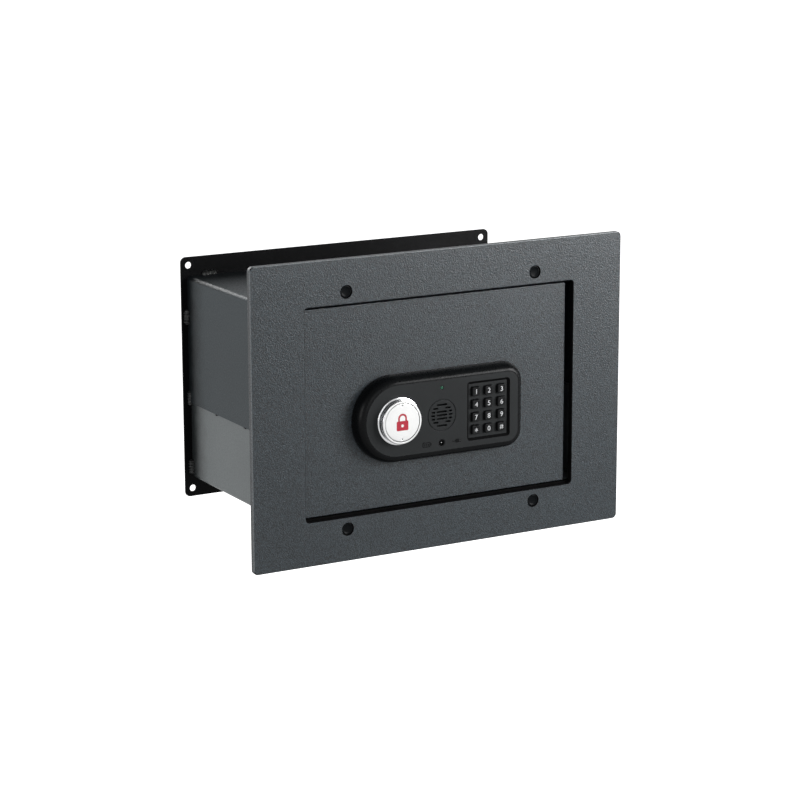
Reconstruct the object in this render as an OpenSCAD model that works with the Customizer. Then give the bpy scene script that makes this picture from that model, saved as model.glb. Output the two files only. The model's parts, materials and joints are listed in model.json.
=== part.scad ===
// Wall safe with an electronic lock, to be built into masonry.
// The front faces -Y, +X is to the right and +Z is up. The origin is the centre of the
// rear plate's back face. All sizes are in millimetres.

/* [Front plate] */
// Width of the front plate
plate_w = 418; // [400:1:460]
// Height of the front plate
plate_h = 300; // [280:1:340]
// Thickness of the front plate
plate_t = 5; // [3:0.5:8]
// Corner radius of the front plate
plate_corner_r = 5; // [2:0.5:12]
// Width of the door opening
opening_w = 304; // [300:1:310]
// Corner radius of the door opening
opening_corner_r = 4; // [1:0.5:6]
// Distance between the plugged holes, across
plug_spacing_x = 213; // [180:1:240]
// Distance between the plugged holes, up
plug_spacing_z = 235; // [230:1:250]
// Diameter of the plugged holes
plug_d = 12; // [8:0.5:14]

/* [Body] */
// Depth from the front plate's face to the rear plate's back
overall_depth = 215; // [190:1:300]
// Outer width of the body
body_w = 350; // [346:1:356]
// Outer height of the body
body_h = 211; // [208:1:218]
// Thickness of the body's sheet steel
sheet_t = 2; // [1.5:0.25:3]
// Outer radius of the bent corners
bend_r = 4.5; // [3:0.5:8]
// Height of the seam above the bottom of the body
seam_h = 80; // [60:1:140]
// How far the two shells overlap at the seam
lap = 15; // [8:1:30]
// Width of the rear plate
rear_w = 363; // [356:1:400]
// Height of the rear plate
rear_h = 250; // [240:1:280]
// Thickness of the rear plate
rear_t = 2; // [1.5:0.25:4]
// Corner radius of the rear plate
rear_corner_r = 5.5; // [2:0.5:12]
// Diameter of the anchor holes
anchor_d = 7; // [5:0.5:9]
// Distance of the anchor holes from the rear plate's edges
anchor_inset = 8.5; // [7:0.5:12]

/* [Door] */
// Width of the door plate
door_w = 296; // [290:1:297]
// Gap between door and body walls, above and below
door_gap_z = 1; // [0.5:0.1:2]
// Gap between the door and the opening on the bolt side
door_gap_x = 2.4; // [2:0.1:4]
// Thickness of the door plate
door_t = 8; // [6:0.5:10]
// How far the door's face lies behind the front plate's face
door_recess = 5.8; // [5.5:0.1:7]
// Hinge axis in from the door's edge
hinge_inset_x = 14; // [13:0.5:15]
// Hinge axis behind the door's face
hinge_inset_y = 16; // [15:0.5:16.5]
// Diameter of the hinge pins
hinge_pin_d = 8; // [6:0.5:8]

/* [Escutcheon] */
// Width of the escutcheon
esc_w = 188; // [180:1:192]
// Height of the escutcheon, and twice the radius of its round end
esc_h = 87; // [84:1:92]
// How far the escutcheon stands out from the door
esc_t = 15.8; // [15:0.1:18]
// Middle of the escutcheon to the right of the door opening's middle
esc_x = -4.6; // [-6:0.1:0]
// Middle of the escutcheon above the door opening's middle
esc_z = -13.4; // [-20:0.1:0]
// Radius of the escutcheon's two right-hand corners
esc_corner_r = 19; // [10:1:25]
// Width of the rounded border around the flat face
esc_border = 8; // [6:0.5:9]
// Wall thickness of the escutcheon
esc_wall = 2.5; // [2:0.1:3]

/* [Knob] */
// Diameter of the knob's face
knob_d = 43.6; // [42:0.1:46]
// How far the knob stands out from the escutcheon
knob_h = 8; // [7:0.5:12]
// Diameter of the removable cap
cap_d = 38; // [36:0.5:39]
// Diameter of the spindle
spindle_d = 16; // [15:0.5:16]

/* [Keypad] */
// Distance between key columns
key_pitch_x = 14.6; // [13.5:0.1:15]
// Distance between key rows
key_pitch_z = 12.9; // [12.5:0.1:13.5]
// Width and height of a key
key_size = 9.2; // [8:0.1:10]
// How far a key stands out from the pocket's floor
key_h = 3; // [2:0.1:4]
// Middle of the keypad to the right of the door opening's middle
keypad_x = 47.4; // [45:0.1:50]
// Depth of the key pocket
pocket_depth = 2; // [1.5:0.1:2.5]

/* [Bolt work] */
// Diameter of the locking bolts
bolt_d = 16; // [12:0.5:18]
// Distance between the two bolts
bolt_spacing = 100; // [90:1:110]
// Module of the rack and pinion
gear_module = 1.5; // [1.5:0.1:1.6]
// Teeth of the pinion
pinion_teeth = 16; // [16:1:17]
// Thickness of the bolt carriage
carriage_t = 3; // [2:0.5:3]

/* [Hidden] */
$fn = 64;

graphite = [0.28, 0.29, 0.30];
body_grey = [0.36, 0.37, 0.38];
black_steel = [0.08, 0.08, 0.09];
black_plastic = [0.12, 0.12, 0.13];
bright_metal = [0.85, 0.86, 0.87];
zinc = [0.66, 0.67, 0.68];
brass = [0.78, 0.64, 0.36];

// Front plate, body and rear plate
front_y = -overall_depth;
plate_back_y = front_y + plate_t;
inner_half_h = body_h / 2 - sheet_t;
opening_h = 2 * inner_half_h + 3.5;
seam_z = -body_h / 2 + seam_h;
lower_w = body_w - 2 * sheet_t;
anchor_x = rear_w / 2 - anchor_inset;
anchor_z = rear_h / 2 - anchor_inset;
plug_clearance = 0.05;
bead_d = 10;
bead_l = 17;
bead_side_z = [55, seam_z - 4, -102];
bead_end_x = [-150, 0, 150];
tack_y = [-125, -60];

// Door and hinge
door_left = -opening_w / 2 + door_gap_x;
door_right = door_left + door_w;
door_half_h = inner_half_h - door_gap_z;
door_front_y = front_y + door_recess;
door_back_y = door_front_y + door_t;
hinge_x = door_right - hinge_inset_x;
hinge_y = door_front_y + hinge_inset_y;
bracket_h = 8;
bracket_z = inner_half_h - bracket_h;
hinge_gap = 1.5;
hinge_block_top = bracket_z - hinge_gap;
hinge_block_h = 32;
pin_engagement = 16;
blind_skin = 2.5;

// Escutcheon
esc_front_y = door_front_y - esc_t;
esc_left = esc_x - esc_w / 2;
esc_right = esc_x + esc_w / 2;
esc_end_r = esc_h / 2;
esc_floor_y = esc_front_y + esc_wall;
pocket_floor_y = esc_front_y + pocket_depth;
pocket_back_y = pocket_floor_y + 1.6;
pocket_w = 3 * key_pitch_x + 5;
pocket_h = 4 * key_pitch_z + 7.5;
stud_dz = esc_end_r - 12;
stud_columns = [-24, 68];
stud_spots = [for (x = stud_columns, side = [-1, 1]) [x, esc_z + side * stud_dz]];

// Knob, on the middle of the escutcheon's round end
knob_x = esc_left + esc_end_r;
knob_z = esc_z;
knob_front_y = esc_front_y - knob_h;
cap_t = 1.5;
cap_recess = cap_t + 0.1;
cap_floor_y = knob_front_y + cap_recess;
neck_d = 38.5;
disc_t = 3.8;
ring_t = 2;
spindle_bore_d = 12.4;
running_gap = 0.05;

// Panel parts between knob and keypad
panel_x = -6.2;
light_z = esc_z + 27.6;
jack_z = esc_z - 27.8;
grille_d = 24;
grille_pitch = 3.5;
grille_slot = 1.7;
grille_bar = 2;
grille_mid_half = 5.8;
grille_solid_half = 4;
groove_d = 31.6;

// Circuit board and keys
board_t = 1.6;
key_travel = 1;
key_flange_t = 0.8;
mat_gap = 0.1;
key_back_y = pocket_back_y + 0.05 + key_flange_t;
mat_front_y = key_back_y + key_travel + mat_gap;
mat_t = 0.8;
board_front_y = mat_front_y + mat_t;
board_back_y = board_front_y + board_t;

// Rack and pinion
pitch_r = gear_module * pinion_teeth / 2;
bolt_travel = pitch_r * 90 * PI / 180;
pinion_outer_r = pitch_r + 0.85 * gear_module;
pinion_root_r = pitch_r - 1.3 * gear_module;
pressure_angle = 20;
backlash = 0.3;
pinion_front_y = door_back_y + 1.8;
pinion_w = 5;

// Bolt carriage, in its withdrawn place
carriage_y = door_back_y + 3;
carriage_back_y = carriage_y + carriage_t;
carriage_left = -118;
carriage_right = knob_x + bolt_travel + pinion_outer_r + 10;
carriage_half_h = 60;
flange_t = 3;
flange_y = carriage_y + 23;
bolt_y = door_back_y + 14;
bolt_end_x = -146;
slot_gap = 0.3;
stud_d = 8;
stud_x = [carriage_left + 16, carriage_right - 8 - bolt_travel - 4];
stud_z = 44;

// Solenoid, beside the carriage
solenoid_x = carriage_right + 15;
solenoid_y = door_back_y + 11;
solenoid_top = 18;
solenoid_h = 34;
solenoid_half_w = 11;
plunger_d = 6;
coil_d = 15;
shelf_z = solenoid_top + 4;
shelf_t = 3;

// Inner cover, batteries and switch
cover_left = -143.6;
cover_right = 112;
cover_half_h = 88;
cover_screw_x = [-118, 86];
cover_screw_z = cover_half_h + 6;
cover_t = 1.2;
cover_back_y = door_back_y + 38;
battery_mid_x = 62;
battery_mid_z = -14;
battery_d = 14.2;
battery_len = 49;
battery_pitch = 14.8;
box_wall = 1.2;
box_inner_w = 57;
box_inner_h = 4 * battery_pitch + 1.2;
box_inner_depth = 15.8;
box_front_y = cover_back_y - cover_t - box_inner_depth - box_wall;
lid_t = 1.6;
harness_x = battery_mid_x - 14;
harness_z = 0;
switch_x = 62;
switch_z = 50;
button_d = 7;

// ---------- Building blocks ----------

// A flat outline in X and Z, made solid between two Y planes
module slab(y0, y1) {
    translate([0, y1, 0]) rotate([90, 0, 0]) linear_extrude(y1 - y0) children();
}

module rod_x(d, x0, x1, y, z) {
    translate([x0, y, z]) rotate([0, 90, 0]) cylinder(d = d, h = x1 - x0);
}

module rod_y(d, y0, y1, x, z) {
    translate([x, y1, z]) rotate([90, 0, 0]) cylinder(d = d, h = y1 - y0);
}

module rod_z(d, z0, z1, x, y) {
    translate([x, y, z0]) cylinder(d = d, h = z1 - z0);
}

module block(x0, x1, y0, y1, z0, z1) {
    translate([x0, y0, z0]) cube([x1 - x0, y1 - y0, z1 - z0]);
}

module rounded_rect(w, h, r) {
    square([w - 2 * r, h], center = true);
    square([w, h - 2 * r], center = true);
    for (sx = [-1, 1], sy = [-1, 1])
        translate([sx * (w / 2 - r), sy * (h / 2 - r)]) circle(r = r);
}

module slot_outline(length, width) {
    translate([0, -width / 2]) square([length, width]);
    circle(d = width);
    translate([length, 0]) circle(d = width);
}

module four_spots(dx, dz) {
    for (sx = [-1, 1], sz = [-1, 1]) translate([sx * dx, sz * dz]) children();
}

// ---------- Frame and body ----------

module front_plate() {
    color(graphite)
        slab(front_y, plate_back_y)
            difference() {
                rounded_rect(plate_w, plate_h, plate_corner_r);
                rounded_rect(opening_w, opening_h, opening_corner_r);
                four_spots(plug_spacing_x / 2, plug_spacing_z / 2) circle(d = plug_d);
            }
}

// Dished plastic plugs, set back from the plate's face
module plate_plugs() {
    color(black_plastic)
        for (sx = [-1, 1], sz = [-1, 1])
            difference() {
                rod_y(plug_d - 2 * plug_clearance, front_y + 0.8, plate_back_y,
                      sx * plug_spacing_x / 2, sz * plug_spacing_z / 2);
                rod_y(plug_d - 3, front_y, front_y + 1.6, sx * plug_spacing_x / 2, sz * plug_spacing_z / 2);
            }
}

// One bent sheet, from its closed end at z_end to its free edges at z_edge
module bent_shell(w, z_end, z_edge) {
    side = z_end > z_edge ? 1 : -1;
    height = abs(z_end - z_edge);
    inner_r = bend_r - sheet_t;
    slab(plate_back_y, -rear_t)
        difference() {
            translate([0, z_end - side * body_h / 2]) rounded_rect(w, body_h, bend_r);
            translate([0, z_end - side * body_h / 2])
                rounded_rect(w - 2 * sheet_t, body_h - 2 * sheet_t, inner_r);
            translate([-w, side > 0 ? z_edge - body_h : z_edge]) square([2 * w, body_h]);
        }
}

module body_upper_shell() {
    color(body_grey) bent_shell(body_w, body_h / 2, seam_z);
}

// The lower shell's sides lap inside the upper shell's
module body_lower_shell() {
    color(body_grey) bent_shell(lower_w, -body_h / 2, seam_z + lap);
}

module rear_plate() {
    color(black_steel)
        slab(-rear_t, 0)
            difference() {
                rounded_rect(rear_w, rear_h, rear_corner_r);
                four_spots(anchor_x, anchor_z) circle(d = anchor_d);
            }
}

// Everything inside the body's outer faces, which the weld beads lie against
module body_envelope() {
    block(-body_w / 2, body_w / 2, front_y, -rear_t, seam_z, body_h / 2);
    block(-lower_w / 2, lower_w / 2, front_y, -rear_t, -body_h / 2, seam_z);
    block(-rear_w, rear_w, -rear_t, 2 * bead_d, -rear_h, rear_h);
}

module weld_beads() {
    color(black_steel)
        difference() {
            for (side = [-1, 1]) {
                for (z = bead_side_z)
                    rod_z(bead_d, z, z + bead_l,
                          side * (z < seam_z - bead_l ? lower_w : body_w) / 2, -rear_t);
                for (x = bead_end_x)
                    rod_x(bead_d, x - bead_l / 2, x + bead_l / 2, -rear_t, side * body_h / 2);
                // Small tacks where the shells meet at the seam
                for (y = tack_y) rod_y(2 * sheet_t, y - 6, y, side * lower_w / 2, seam_z);
            }
            body_envelope();
        }
}

// Keeper for the bolts, welded behind the front plate
module bolt_strike() {
    strike_x = -opening_w / 2 - 6;
    strike_half_h = 72;
    strike_t = 3;
    foot_w = 11;
    color(zinc)
        difference() {
            union() {
                block(strike_x, strike_x + strike_t, plate_back_y, bolt_y + bolt_d,
                      -strike_half_h, strike_half_h);
                block(strike_x - foot_w, strike_x, plate_back_y, plate_back_y + strike_t,
                      -strike_half_h, strike_half_h);
            }
            for (side = [-1, 1])
                rod_x(bolt_d + 2, strike_x - 1, strike_x + 4, bolt_y, side * bolt_spacing / 2);
        }
}

// Pivot ears on the body's top and bottom walls, rounded so that the door's edge can pass
module hinge_brackets() {
    ear_r = hinge_inset_y - door_t - 0.5;
    color(zinc)
        for (side = [-1, 1])
            mirror([0, 0, side > 0 ? 0 : 1])
                difference() {
                    union() {
                        rod_z(2 * ear_r, bracket_z, inner_half_h, hinge_x, hinge_y);
                        block(hinge_x - 16, hinge_x + 5.5, hinge_y, hinge_y + 22, bracket_z, inner_half_h);
                    }
                    rod_z(hinge_pin_d, bracket_z - 1, inner_half_h - 1.5, hinge_x, hinge_y);
                }
}

module hinge_pins() {
    color(bright_metal)
        for (side = [-1, 1])
            mirror([0, 0, side > 0 ? 0 : 1])
                rod_z(hinge_pin_d, hinge_block_top - pin_engagement, inner_half_h - 1.5, hinge_x, hinge_y);
}

module hinge_washers() {
    washer_t = hinge_gap - 0.1;
    color(brass)
        for (side = [-1, 1])
            mirror([0, 0, side > 0 ? 0 : 1])
                difference() {
                    rod_z(14, bracket_z - washer_t, bracket_z, hinge_x, hinge_y);
                    rod_z(hinge_pin_d, bracket_z - washer_t - 1, bracket_z + 1, hinge_x, hinge_y);
                }
}

module floor_mat() {
    color([0.10, 0.10, 0.12])
        block(-lower_w / 2 + sheet_t + bend_r, lower_w / 2 - sheet_t - bend_r,
              -164, -rear_t - 3, -inner_half_h, -inner_half_h + 2);
}

// ---------- Door ----------

module door_plate() {
    color(graphite)
        difference() {
            slab(door_front_y, door_back_y)
                difference() {
                    translate([(door_left + door_right) / 2, 0])
                        rounded_rect(door_w, 2 * door_half_h, 1.5);
                    translate([knob_x, knob_z]) circle(d = spindle_d + 4);
                    translate([harness_x, harness_z]) circle(d = 14);
                    for (p = stud_spots) translate(p) circle(d = 4.2);
                }
            // Blind holes, so that screws and guide studs don't show on the face
            slab(door_front_y + blind_skin, door_back_y + 1) {
                cover_screw_spots() circle(d = 4);
                for (x = stud_x, side = [-1, 1]) translate([x, side * stud_z]) circle(d = stud_d - 2);
            }
        }
}

module cover_screw_spots() {
    for (x = cover_screw_x, side = [-1, 1]) translate([x, side * cover_screw_z]) children();
}

// Bored blocks on the door's back that turn on the hinge pins
module hinge_blocks() {
    color(zinc)
        for (side = [-1, 1])
            mirror([0, 0, side > 0 ? 0 : 1])
                difference() {
                    block(hinge_x - 10, hinge_x + 10, door_back_y, hinge_y + 8,
                          hinge_block_top - hinge_block_h, hinge_block_top);
                    rod_z(hinge_pin_d + 2 * running_gap, hinge_block_top - pin_engagement - 2,
                          hinge_block_top + 1, hinge_x, hinge_y);
                }
}

// Outline of the escutcheon, drawn in by inset: round at the left, two rounded corners at the right
module esc_outline(inset) {
    r = esc_corner_r - inset;
    translate([knob_x, esc_z]) circle(r = esc_end_r - inset);
    for (side = [-1, 1])
        translate([esc_right - esc_corner_r, esc_z + side * (esc_end_r - esc_corner_r)]) circle(r = r);
}

// Solid with the outline at its foot and a border that curves over to the flat face
module esc_form(inset, top_y) {
    straight = 4;
    rise = door_front_y - straight - top_y;
    steps = 5;
    hull() {
        slab(door_front_y - straight, door_front_y) esc_outline(inset);
        for (i = [1 : steps]) {
            a = 90 * i / steps;
            y = door_front_y - straight - rise * sin(a);
            slab(y, y + 0.01) esc_outline(inset + esc_border * (1 - cos(a)));
        }
    }
}

module esc_window() {
    translate([keypad_x, esc_z]) rounded_rect(pocket_w, pocket_h, 2);
}

module escutcheon() {
    tub_inset = 2;
    color(black_plastic)
        difference() {
            union() {
                difference() {
                    esc_form(0, esc_front_y, $fn = 64);
                    esc_form(esc_wall, esc_floor_y, $fn = 32);
                }
                // Tub below the key pocket
                slab(esc_front_y + 1, pocket_back_y)
                    translate([keypad_x, esc_z])
                        rounded_rect(pocket_w + 2 * tub_inset, pocket_h + 2 * tub_inset, 3);
                // Hub around the spindle
                rod_y(30, esc_front_y + 1, door_front_y, knob_x, knob_z);
                // Screw posts
                for (p = stud_spots) rod_y(7, esc_front_y + 1, door_front_y, p[0], p[1]);
            }
            slab(esc_front_y - 1, pocket_floor_y) esc_window();
            slab(esc_front_y - 1, pocket_back_y + 1) key_spots() square(key_size + 0.5, center = true);
            rod_y(spindle_d + 1, esc_front_y - 1, door_front_y + 1, knob_x, knob_z);
            rod_y(4, esc_front_y - 1, esc_floor_y + 1, panel_x, light_z);
            rod_y(7, esc_front_y - 1, esc_floor_y + 1, panel_x, jack_z);
            slab(esc_front_y - 1, esc_floor_y + 1) grille_slots();
            // Fine ring line around the grille
            slab(esc_front_y - 1, esc_front_y + 0.5)
                translate([panel_x, esc_z])
                    difference() {
                        circle(d = groove_d + 0.6);
                        circle(d = groove_d - 0.6);
                    }
            for (p = stud_spots) rod_y(3.4, esc_front_y + 4, door_front_y + 1, p[0], p[1]);
        }
}

// Seven rows of slots inside a circle. The outer rows are whole, the next ones have a solid
// middle, and two upright bars split the three middle rows.
module grille_slots() {
    translate([panel_x, esc_z])
        for (row = [-3 : 3]) {
            z = row * grille_pitch;
            half = sqrt(pow(grille_d / 2, 2) - pow(z, 2));
            side_from = abs(row) == 2 ? grille_solid_half : grille_mid_half + grille_bar;
            if (abs(row) != 2)
                translate([0, z]) square([2 * min(half, grille_mid_half), grille_slot], center = true);
            if (abs(row) < 3)
                for (side = [-1, 1])
                    translate([side * (side_from + half) / 2, z])
                        square([half - side_from, grille_slot], center = true);
        }
}

module knob_base_ring() {
    color(bright_metal)
        slab(esc_front_y - ring_t, esc_front_y)
            translate([knob_x, knob_z])
                difference() {
                    circle(d = knob_d + 4.6);
                    circle(d = neck_d + 1);
                }
}

module spindle_bush() {
    bore_d = spindle_d + 2 * running_gap;
    color([0.90, 0.88, 0.80])
        difference() {
            union() {
                rod_y(spindle_d + 4, door_front_y, door_back_y, knob_x, knob_z);
                rod_y(spindle_d + 10, door_back_y, door_back_y + 1.2, knob_x, knob_z);
            }
            rod_y(bore_d, door_front_y - 1, door_back_y + 2, knob_x, knob_z);
        }
}

module speaker() {
    color([0.15, 0.15, 0.16])
        difference() {
            rod_y(28, esc_floor_y, board_front_y, panel_x, esc_z);
            rod_y(24, esc_floor_y - 1, esc_floor_y + 1.2, panel_x, esc_z);
        }
}

module status_light() {
    color([0.05, 0.45, 0.20]) {
        rod_y(3.6, esc_front_y - 0.3, board_front_y, panel_x, light_z);
        rod_y(5, esc_floor_y + 1, board_front_y, panel_x, light_z);
    }
}

module power_jack() {
    color([0.05, 0.05, 0.06])
        difference() {
            union() {
                rod_y(6.6, esc_front_y - 0.2, board_front_y, panel_x, jack_z);
                rod_y(9, esc_floor_y + 0.5, board_front_y, panel_x, jack_z);
            }
            rod_y(4.2, esc_front_y - 1, esc_front_y + 6, panel_x, jack_z);
        }
}

module key_spots() {
    for (i = [0 : 11]) translate(key_place(i)) children();
}

// Keys count from the top left, three to a row
function key_place(i) = [
    keypad_x + (i % 3 - 1) * key_pitch_x,
    esc_z + (1.5 - floor(i / 3)) * key_pitch_z
];

// A flared cap over a wider flange that keeps it behind the pocket's floor
module key(i) {
    spot = key_place(i);
    tip_y = pocket_floor_y - key_h;
    color(black_plastic)
        translate([spot[0], 0, spot[1]]) {
            slab(tip_y, pocket_back_y + 0.05 + key_flange_t) rounded_rect(key_size, key_size, 1.4);
            slab(pocket_back_y + 0.05, pocket_back_y + 0.05 + key_flange_t)
                square(key_size + 1.8, center = true);
        }
}

module keypad_mat() {
    color([0.30, 0.32, 0.34])
        slab(mat_front_y, board_front_y)
            translate([keypad_x, esc_z]) rounded_rect(pocket_w - 5, pocket_h - 5, 2);
}

module circuit_board() {
    half_h = 33;
    color([0.05, 0.35, 0.18])
        difference() {
            slab(board_front_y, board_back_y)
                translate([33, esc_z]) square([98, 2 * half_h], center = true);
            for (p = stud_spots) rod_y(8, board_front_y - 1, board_back_y + 1, p[0], p[1]);
        }
    color([0.06, 0.06, 0.07]) {
        block(8, 22, board_back_y, board_back_y + 1.8, -22, -6);
        block(30, 36, board_back_y, board_back_y + 1.6, 0, 8);
        block(54, 66, board_back_y, board_back_y + 1.4, -40, -32);
    }
}

module escutcheon_studs() {
    color(zinc)
        for (p = stud_spots) rod_y(3.3, esc_front_y + 4.5, door_back_y + 2.6, p[0], p[1]);
}

module escutcheon_nuts() {
    color(zinc)
        for (p = stud_spots)
            difference() {
                translate([p[0], door_back_y + 2.4, p[1]]) rotate([90, 0, 0])
                    cylinder(d = 6.8, h = 2.4, $fn = 6);
                rod_y(3.4, door_back_y - 1, door_back_y + 3, p[0], p[1]);
            }
}

// ---------- Inner cover and electrics ----------

module inner_cover() {
    mid_x = (cover_left + cover_right) / 2;
    width = cover_right - cover_left;
    window_w = box_inner_w + 2 * box_wall;
    window_h = box_inner_h + 2 * box_wall;
    color(body_grey)
        difference() {
            union() {
                block(cover_left, cover_right, door_back_y, cover_back_y, -cover_half_h, cover_half_h);
                slab(door_back_y, door_back_y + cover_t)
                    cover_screw_spots() square([16, 12], center = true);
                // Rails that hold the battery cover
                for (side = [-1, 1])
                    block(battery_mid_x - window_w / 2 - 4, battery_mid_x + window_w / 2 + 4,
                          cover_back_y, cover_back_y + 3.2,
                          battery_mid_z + side * (window_h / 2 + 5) - 2,
                          battery_mid_z + side * (window_h / 2 + 5) + 2);
            }
            block(cover_left + cover_t, cover_right - cover_t, door_back_y - 1, cover_back_y - cover_t,
                  -cover_half_h + cover_t, cover_half_h - cover_t);
            for (side = [-1, 1])
                rod_x(bolt_d + 2, cover_left - 1, cover_left + 3, bolt_y, side * bolt_spacing / 2);
            block(battery_mid_x - window_w / 2, battery_mid_x + window_w / 2,
                  cover_back_y - 3, cover_back_y + 1,
                  battery_mid_z - window_h / 2, battery_mid_z + window_h / 2);
            rod_y(button_d + 0.6, cover_back_y - 3, cover_back_y + 1, switch_x, switch_z);
            slab(door_back_y - 1, door_back_y + 3) cover_screw_spots() circle(d = 4.4);
            // Undercut in the rails for the battery cover's edges
            block(battery_mid_x - window_w / 2 - 5, battery_mid_x + window_w / 2 + 5,
                  cover_back_y, cover_back_y + lid_t + 0.3,
                  battery_mid_z - window_h / 2 - 5, battery_mid_z + window_h / 2 + 5);
        }
}

module cover_screws() {
    color(zinc)
        for (x = cover_screw_x, side = [-1, 1]) {
            rod_y(8, door_back_y + cover_t, door_back_y + cover_t + 2.4, x, side * cover_screw_z);
            rod_y(3.9, door_front_y + blind_skin, door_back_y + cover_t, x, side * cover_screw_z);
        }
}

// Guide for the bolts at the door's free edge
module bolt_guide() {
    guide_x = cover_left - 4;
    color(zinc)
        difference() {
            block(guide_x, cover_left, door_back_y, bolt_y + 12, -66, 66);
            for (side = [-1, 1])
                rod_x(bolt_d + 0.2, guide_x - 1, cover_left + 1, bolt_y, side * bolt_spacing / 2);
        }
}

// Shouldered studs in the door's back that the carriage slides on
module guide_studs() {
    color(bright_metal)
        for (x = stud_x, side = [-1, 1]) {
            rod_y(stud_d - 2.1, door_front_y + blind_skin, door_back_y, x, side * stud_z);
            rod_y(stud_d + 5, door_back_y, carriage_y - 0.1, x, side * stud_z);
            rod_y(stud_d, door_back_y, carriage_back_y + 5, x, side * stud_z);
        }
}

module guide_nuts() {
    color(zinc)
        for (x = stud_x, side = [-1, 1])
            difference() {
                union() {
                    rod_y(14, carriage_back_y + 0.1, carriage_back_y + 1.1, x, side * stud_z);
                    translate([x, carriage_back_y + 4.6, side * stud_z]) rotate([90, 0, 0])
                        cylinder(d = 14, h = 3.5, $fn = 6);
                }
                rod_y(stud_d, carriage_back_y, carriage_back_y + 6, x, side * stud_z);
            }
}

module battery_box() {
    half_w = box_inner_w / 2;
    half_h = box_inner_h / 2;
    color(black_plastic)
        difference() {
            block(battery_mid_x - half_w - box_wall, battery_mid_x + half_w + box_wall,
                  box_front_y, cover_back_y,
                  battery_mid_z - half_h - box_wall, battery_mid_z + half_h + box_wall);
            block(battery_mid_x - half_w, battery_mid_x + half_w,
                  box_front_y + box_wall, cover_back_y + 1,
                  battery_mid_z - half_h, battery_mid_z + half_h);
        }
}

function battery_z(i) = battery_mid_z + (i - 1.5) * battery_pitch;
battery_y = box_front_y + box_wall + box_inner_depth / 2;

// Cells lie side by side, turned end for end in turn
module batteries() {
    for (i = [0 : 3])
        translate([battery_mid_x, battery_y, battery_z(i)])
            rotate([0, 0, i % 2 * 180]) {
                color([0.20, 0.22, 0.26])
                    rod_x(battery_d, -battery_len / 2, battery_len / 2, 0, 0);
                color(bright_metal) rod_x(5.5, battery_len / 2, battery_len / 2 + 1.2, 0, 0);
            }
}

// A plate at each cell's tip and a conical spring, drawn as a hollow cone, at its foot
module battery_contacts() {
    half_w = box_inner_w / 2;
    wire = 0.9;
    spring_l = half_w - 0.5 - battery_len / 2;
    color(bright_metal)
        for (i = [0 : 3])
            translate([battery_mid_x, battery_y, battery_z(i)])
                rotate([0, 0, i % 2 * 180]) {
                    block(half_w - 0.5, half_w, -5, 5, -5, 5);
                    block(battery_len / 2 + 1.2, half_w - 0.5, -2, 2, -2, 2);
                    block(-half_w, -half_w + 0.5, -5, 5, -5, 5);
                    translate([-half_w + 0.5, 0, 0]) rotate([0, 90, 0])
                        difference() {
                            cylinder(d1 = 9.6, d2 = 5.2, h = spring_l);
                            cylinder(d1 = 9.6 - 2 * wire, d2 = 5.2 - 2 * wire, h = spring_l);
                        }
                }
}

// Flat lid that slides in the rails
module battery_cover() {
    window_w = box_inner_w + 2 * box_wall;
    window_h = box_inner_h + 2 * box_wall;
    lid_y = cover_back_y + 0.1;
    color(black_plastic) {
        block(battery_mid_x - window_w / 2 - 3, battery_mid_x + window_w / 2 + 3,
              lid_y, lid_y + lid_t,
              battery_mid_z - window_h / 2 - 4.7, battery_mid_z + window_h / 2 + 4.7);
        // Grip ribs
        for (x = [0 : 4])
            rod_z(1.6, battery_mid_z - 14, battery_mid_z + 14,
                  battery_mid_x - 18 + 3 * x, lid_y + lid_t);
    }
}

module reset_switch() {
    color([0.10, 0.10, 0.11])
        difference() {
            block(switch_x - 7, switch_x + 7, cover_back_y - cover_t - 10, cover_back_y - cover_t,
                  switch_z - 7, switch_z + 7);
            rod_y(button_d + 0.4, cover_back_y - cover_t - 8, cover_back_y, switch_x, switch_z);
        }
}

module reset_button() {
    color([0.70, 0.08, 0.06])
        rod_y(button_d, cover_back_y - cover_t - 5, cover_back_y + 2.2, switch_x, switch_z);
}

module solenoid_frame() {
    bottom = solenoid_top - solenoid_h;
    color(zinc)
        difference() {
            union() {
                block(solenoid_x - solenoid_half_w, solenoid_x + solenoid_half_w,
                      door_back_y, door_back_y + 2, bottom, solenoid_top);
                block(solenoid_x - solenoid_half_w, solenoid_x + solenoid_half_w,
                      door_back_y, solenoid_y + 9, solenoid_top - 2, solenoid_top);
                block(solenoid_x - solenoid_half_w, solenoid_x + solenoid_half_w,
                      door_back_y, solenoid_y + 9, bottom, bottom + 2);
            }
            rod_z(plunger_d + 0.4, bottom - 1, solenoid_top + 1, solenoid_x, solenoid_y);
        }
}

module solenoid_coil() {
    bottom = solenoid_top - solenoid_h;
    color([0.55, 0.22, 0.10])
        difference() {
            rod_z(coil_d, bottom + 2, solenoid_top - 2, solenoid_x, solenoid_y);
            rod_z(plunger_d + 0.2, bottom, solenoid_top, solenoid_x, solenoid_y);
        }
}

// Drops clear of the carriage's shelf, and rises into one of its two holes
module solenoid_plunger() {
    bottom = solenoid_top - solenoid_h;
    color(bright_metal) {
        rod_z(plunger_d, bottom - 8, shelf_z - 0.6, solenoid_x, solenoid_y);
        rod_z(plunger_d + 4, bottom - 8, bottom - 5, solenoid_x, solenoid_y);
    }
}

// Wires from the board through the door to the batteries, with a branch to the solenoid
module cable_harness() {
    wire_d = 4;
    color([0.55, 0.08, 0.06]) {
        rod_y(wire_d, board_back_y, box_front_y, harness_x, harness_z);
        rod_x(wire_d, solenoid_x + coil_d / 2, harness_x, solenoid_y, harness_z);
    }
}

// ---------- Bolt work ----------

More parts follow.
